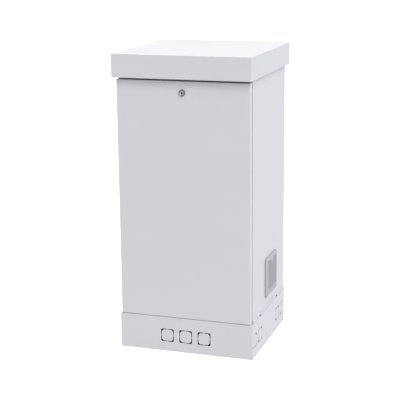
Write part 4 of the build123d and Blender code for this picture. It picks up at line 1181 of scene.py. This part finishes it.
class CABINET_OT_fan(Operator):
    """Model the impeller with its twisted blades"""

    bl_idname = "cabinet.fan"
    bl_label = "Fan"

    def execute(self, context):
        sizes = context.scene.cabinet_pieces
        low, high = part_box("fan_impeller")
        house_low, house_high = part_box("fan_housing")
        centre = (house_low + house_high) / 2
        radius = max(high.z - centre.z, centre.z - low.z)
        impeller = model_hub(low.x, high.x, sizes)
        blade = model_blade(radius, sizes)
        middle = Matrix.Translation((0, 0, high.x - sizes.fan_depth / 2))
        for number in range(sizes.blades):
            turn = Matrix.Rotation(FULL_TURN * number / sizes.blades, 4, "Z")
            combine(impeller, copied(blade, middle @ turn), "UNION")
        bpy.data.objects.remove(blade)
        sweep = bar("sweep", 96, radius, low.x - OVERLAP, high.x + OVERLAP)
        combine(impeller, sweep, "INTERSECT")
        smooth(impeller, 30)
        place = along((1, 0, 0), (0, centre.y, centre.z))
        placed(moved(impeller, place), "fan_impeller", "fan")
        return {"FINISHED"}


# Stage
FLOOR_DROP = 0.0005  # keeps the floor clear of the plinth's lower edge
DARKEST_SKY = 0.05, 0.05, 0.05
SENSOR = 36.0  # width of the camera's sensor in millimetres


def direction(turn, rise):
    """The way to a point that is turned to the right of the door and raised above the level."""
    level = math.cos(rise)
    return Vector((math.sin(turn) * level, -math.cos(turn) * level, math.sin(rise)))


def add_floor(stage):
    """A pale floor whose glow the camera and the cabinet see, but for under the plinth."""
    floor = sheet("floor", (stage.floor, stage.floor), (0, 0, -FLOOR_DROP))
    material, tree, shader, position = new_material("pale_floor")
    seen = put(tree, "ShaderNodeLightPath").outputs["Is Camera Ray"]
    pale = blend(tree, noise(tree, position, 0.8), grey(0.80), grey(0.82))
    place = parts(tree, position)
    low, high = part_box("plinth_right")
    below = times(tree, window(tree, place["X"], -high.x, high.x),
                  window(tree, place["Y"], low.y, high.y))
    glow = spread(tree, seen, stage.floor_bounce, stage.floor_glow)
    wire(tree, shader.inputs, {
        "Base Color": blend(tree, seen, grey(0.05), pale),
        "Roughness": 0.9,
        "Emission Color": grey(1.0),
        "Emission Strength": times(tree, math_node(tree, "SUBTRACT", 1.0, below), glow),
    })
    floor.data.materials.append(material)


def add_dome(stage):
    """A soft sky that is brighter at its top and towards the right and front."""
    world = bpy.data.worlds.new("studio")
    world.use_nodes = True
    tree = world.node_tree
    way = parts(tree, put(tree, "ShaderNodeTexCoord").outputs["Generated"])
    light = tuple(stage.dome)
    gains = {"X": stage.dome_right, "Z": stage.dome_top, "Y": -Vector(stage.dome_front)}
    for axis, gain in gains.items():
        light = vector_math(tree, "MULTIPLY_ADD", way[axis], tuple(gain), light)
    light = vector_math(tree, "MAXIMUM", light, DARKEST_SKY)
    tree.links.new(light, tree.nodes["Background"].inputs["Color"])
    bpy.context.scene.world = world


def add_light(name, strength, turn, rise, softness):
    aim = direction(turn, rise).to_track_quat("Z", "Y").to_euler()
    bpy.ops.object.light_add(type="SUN", rotation=aim)
    light = bpy.context.object
    light.name = name
    light.data.energy = strength
    light.data.angle = softness


def add_camera(stage):
    back = direction(stage.azimuth, stage.elevation)
    right = Vector((math.cos(stage.azimuth), math.sin(stage.azimuth), 0))
    leaned = Matrix.Rotation(stage.roll, 3, back)
    axes = Matrix((leaned @ right, leaned @ back.cross(right), back)).transposed()
    at = Vector(stage.target) + back * stage.distance
    bpy.ops.object.camera_add(location=at, rotation=axes.to_euler())
    camera = bpy.context.object
    camera.name = "camera"
    camera.data.lens = stage.lens
    camera.data.sensor_width = SENSOR
    bpy.context.scene.camera = camera


class CABINET_OT_stage(Operator):
    """Set the pale floor, the soft light and the camera"""

    bl_idname = "cabinet.stage"
    bl_label = "Stage"

    def execute(self, context):
        stage = context.scene.cabinet_stage
        add_floor(stage)
        add_dome(stage)
        add_light("key_light", stage.key, stage.key_turn, stage.key_rise, stage.softness)
        add_light("fill_light", stage.fill, stage.fill_turn, stage.fill_rise, stage.softness)
        add_camera(stage)
        context.scene.view_settings.view_transform = "Standard"
        return {"FINISHED"}


class CABINET_PT_panel(Panel):
    """Lists the cabinet's pieces and sizes"""

    bl_label = "Cabinet"
    bl_idname = "CABINET_PT_panel"
    bl_space_type = "VIEW_3D"
    bl_region_type = "UI"
    bl_category = "Cabinet"

    def draw(self, context):
        for operator in OPERATORS:
            self.layout.operator(operator.bl_idname)
        for group, kind in GROUPS.items():
            settings = getattr(context.scene, group)
            for name in kind.__annotations__:
                self.layout.prop(settings, name)


GROUPS = {
    "cabinet_finish": CabinetFinish,
    "cabinet_pieces": CabinetPieces,
    "cabinet_stage": CabinetStage,
}
OPERATORS = (
    CABINET_OT_sheets, CABINET_OT_screws, CABINET_OT_fasteners, CABINET_OT_seal, CABINET_OT_lock,
    CABINET_OT_grommets, CABINET_OT_filter, CABINET_OT_fan, CABINET_OT_stage,
)
CLASSES = (*GROUPS.values(), *OPERATORS, CABINET_PT_panel)


def register():
    for kind in CLASSES:
        bpy.utils.register_class(kind)
    for group, kind in GROUPS.items():
        setattr(bpy.types.Scene, group, PointerProperty(type=kind))


def unregister():
    for group in GROUPS:
        delattr(bpy.types.Scene, group)
    for kind in reversed(CLASSES):
        bpy.utils.unregister_class(kind)


def main():
    register()
    bpy.ops.cabinet.sheets()
    bpy.ops.cabinet.screws()
    bpy.ops.cabinet.fasteners()
    bpy.ops.cabinet.seal()
    bpy.ops.cabinet.lock()
    bpy.ops.cabinet.grommets()
    bpy.ops.cabinet.filter()
    bpy.ops.cabinet.fan()
    bpy.ops.cabinet.stage()


if __name__ == "__main__":
    main()
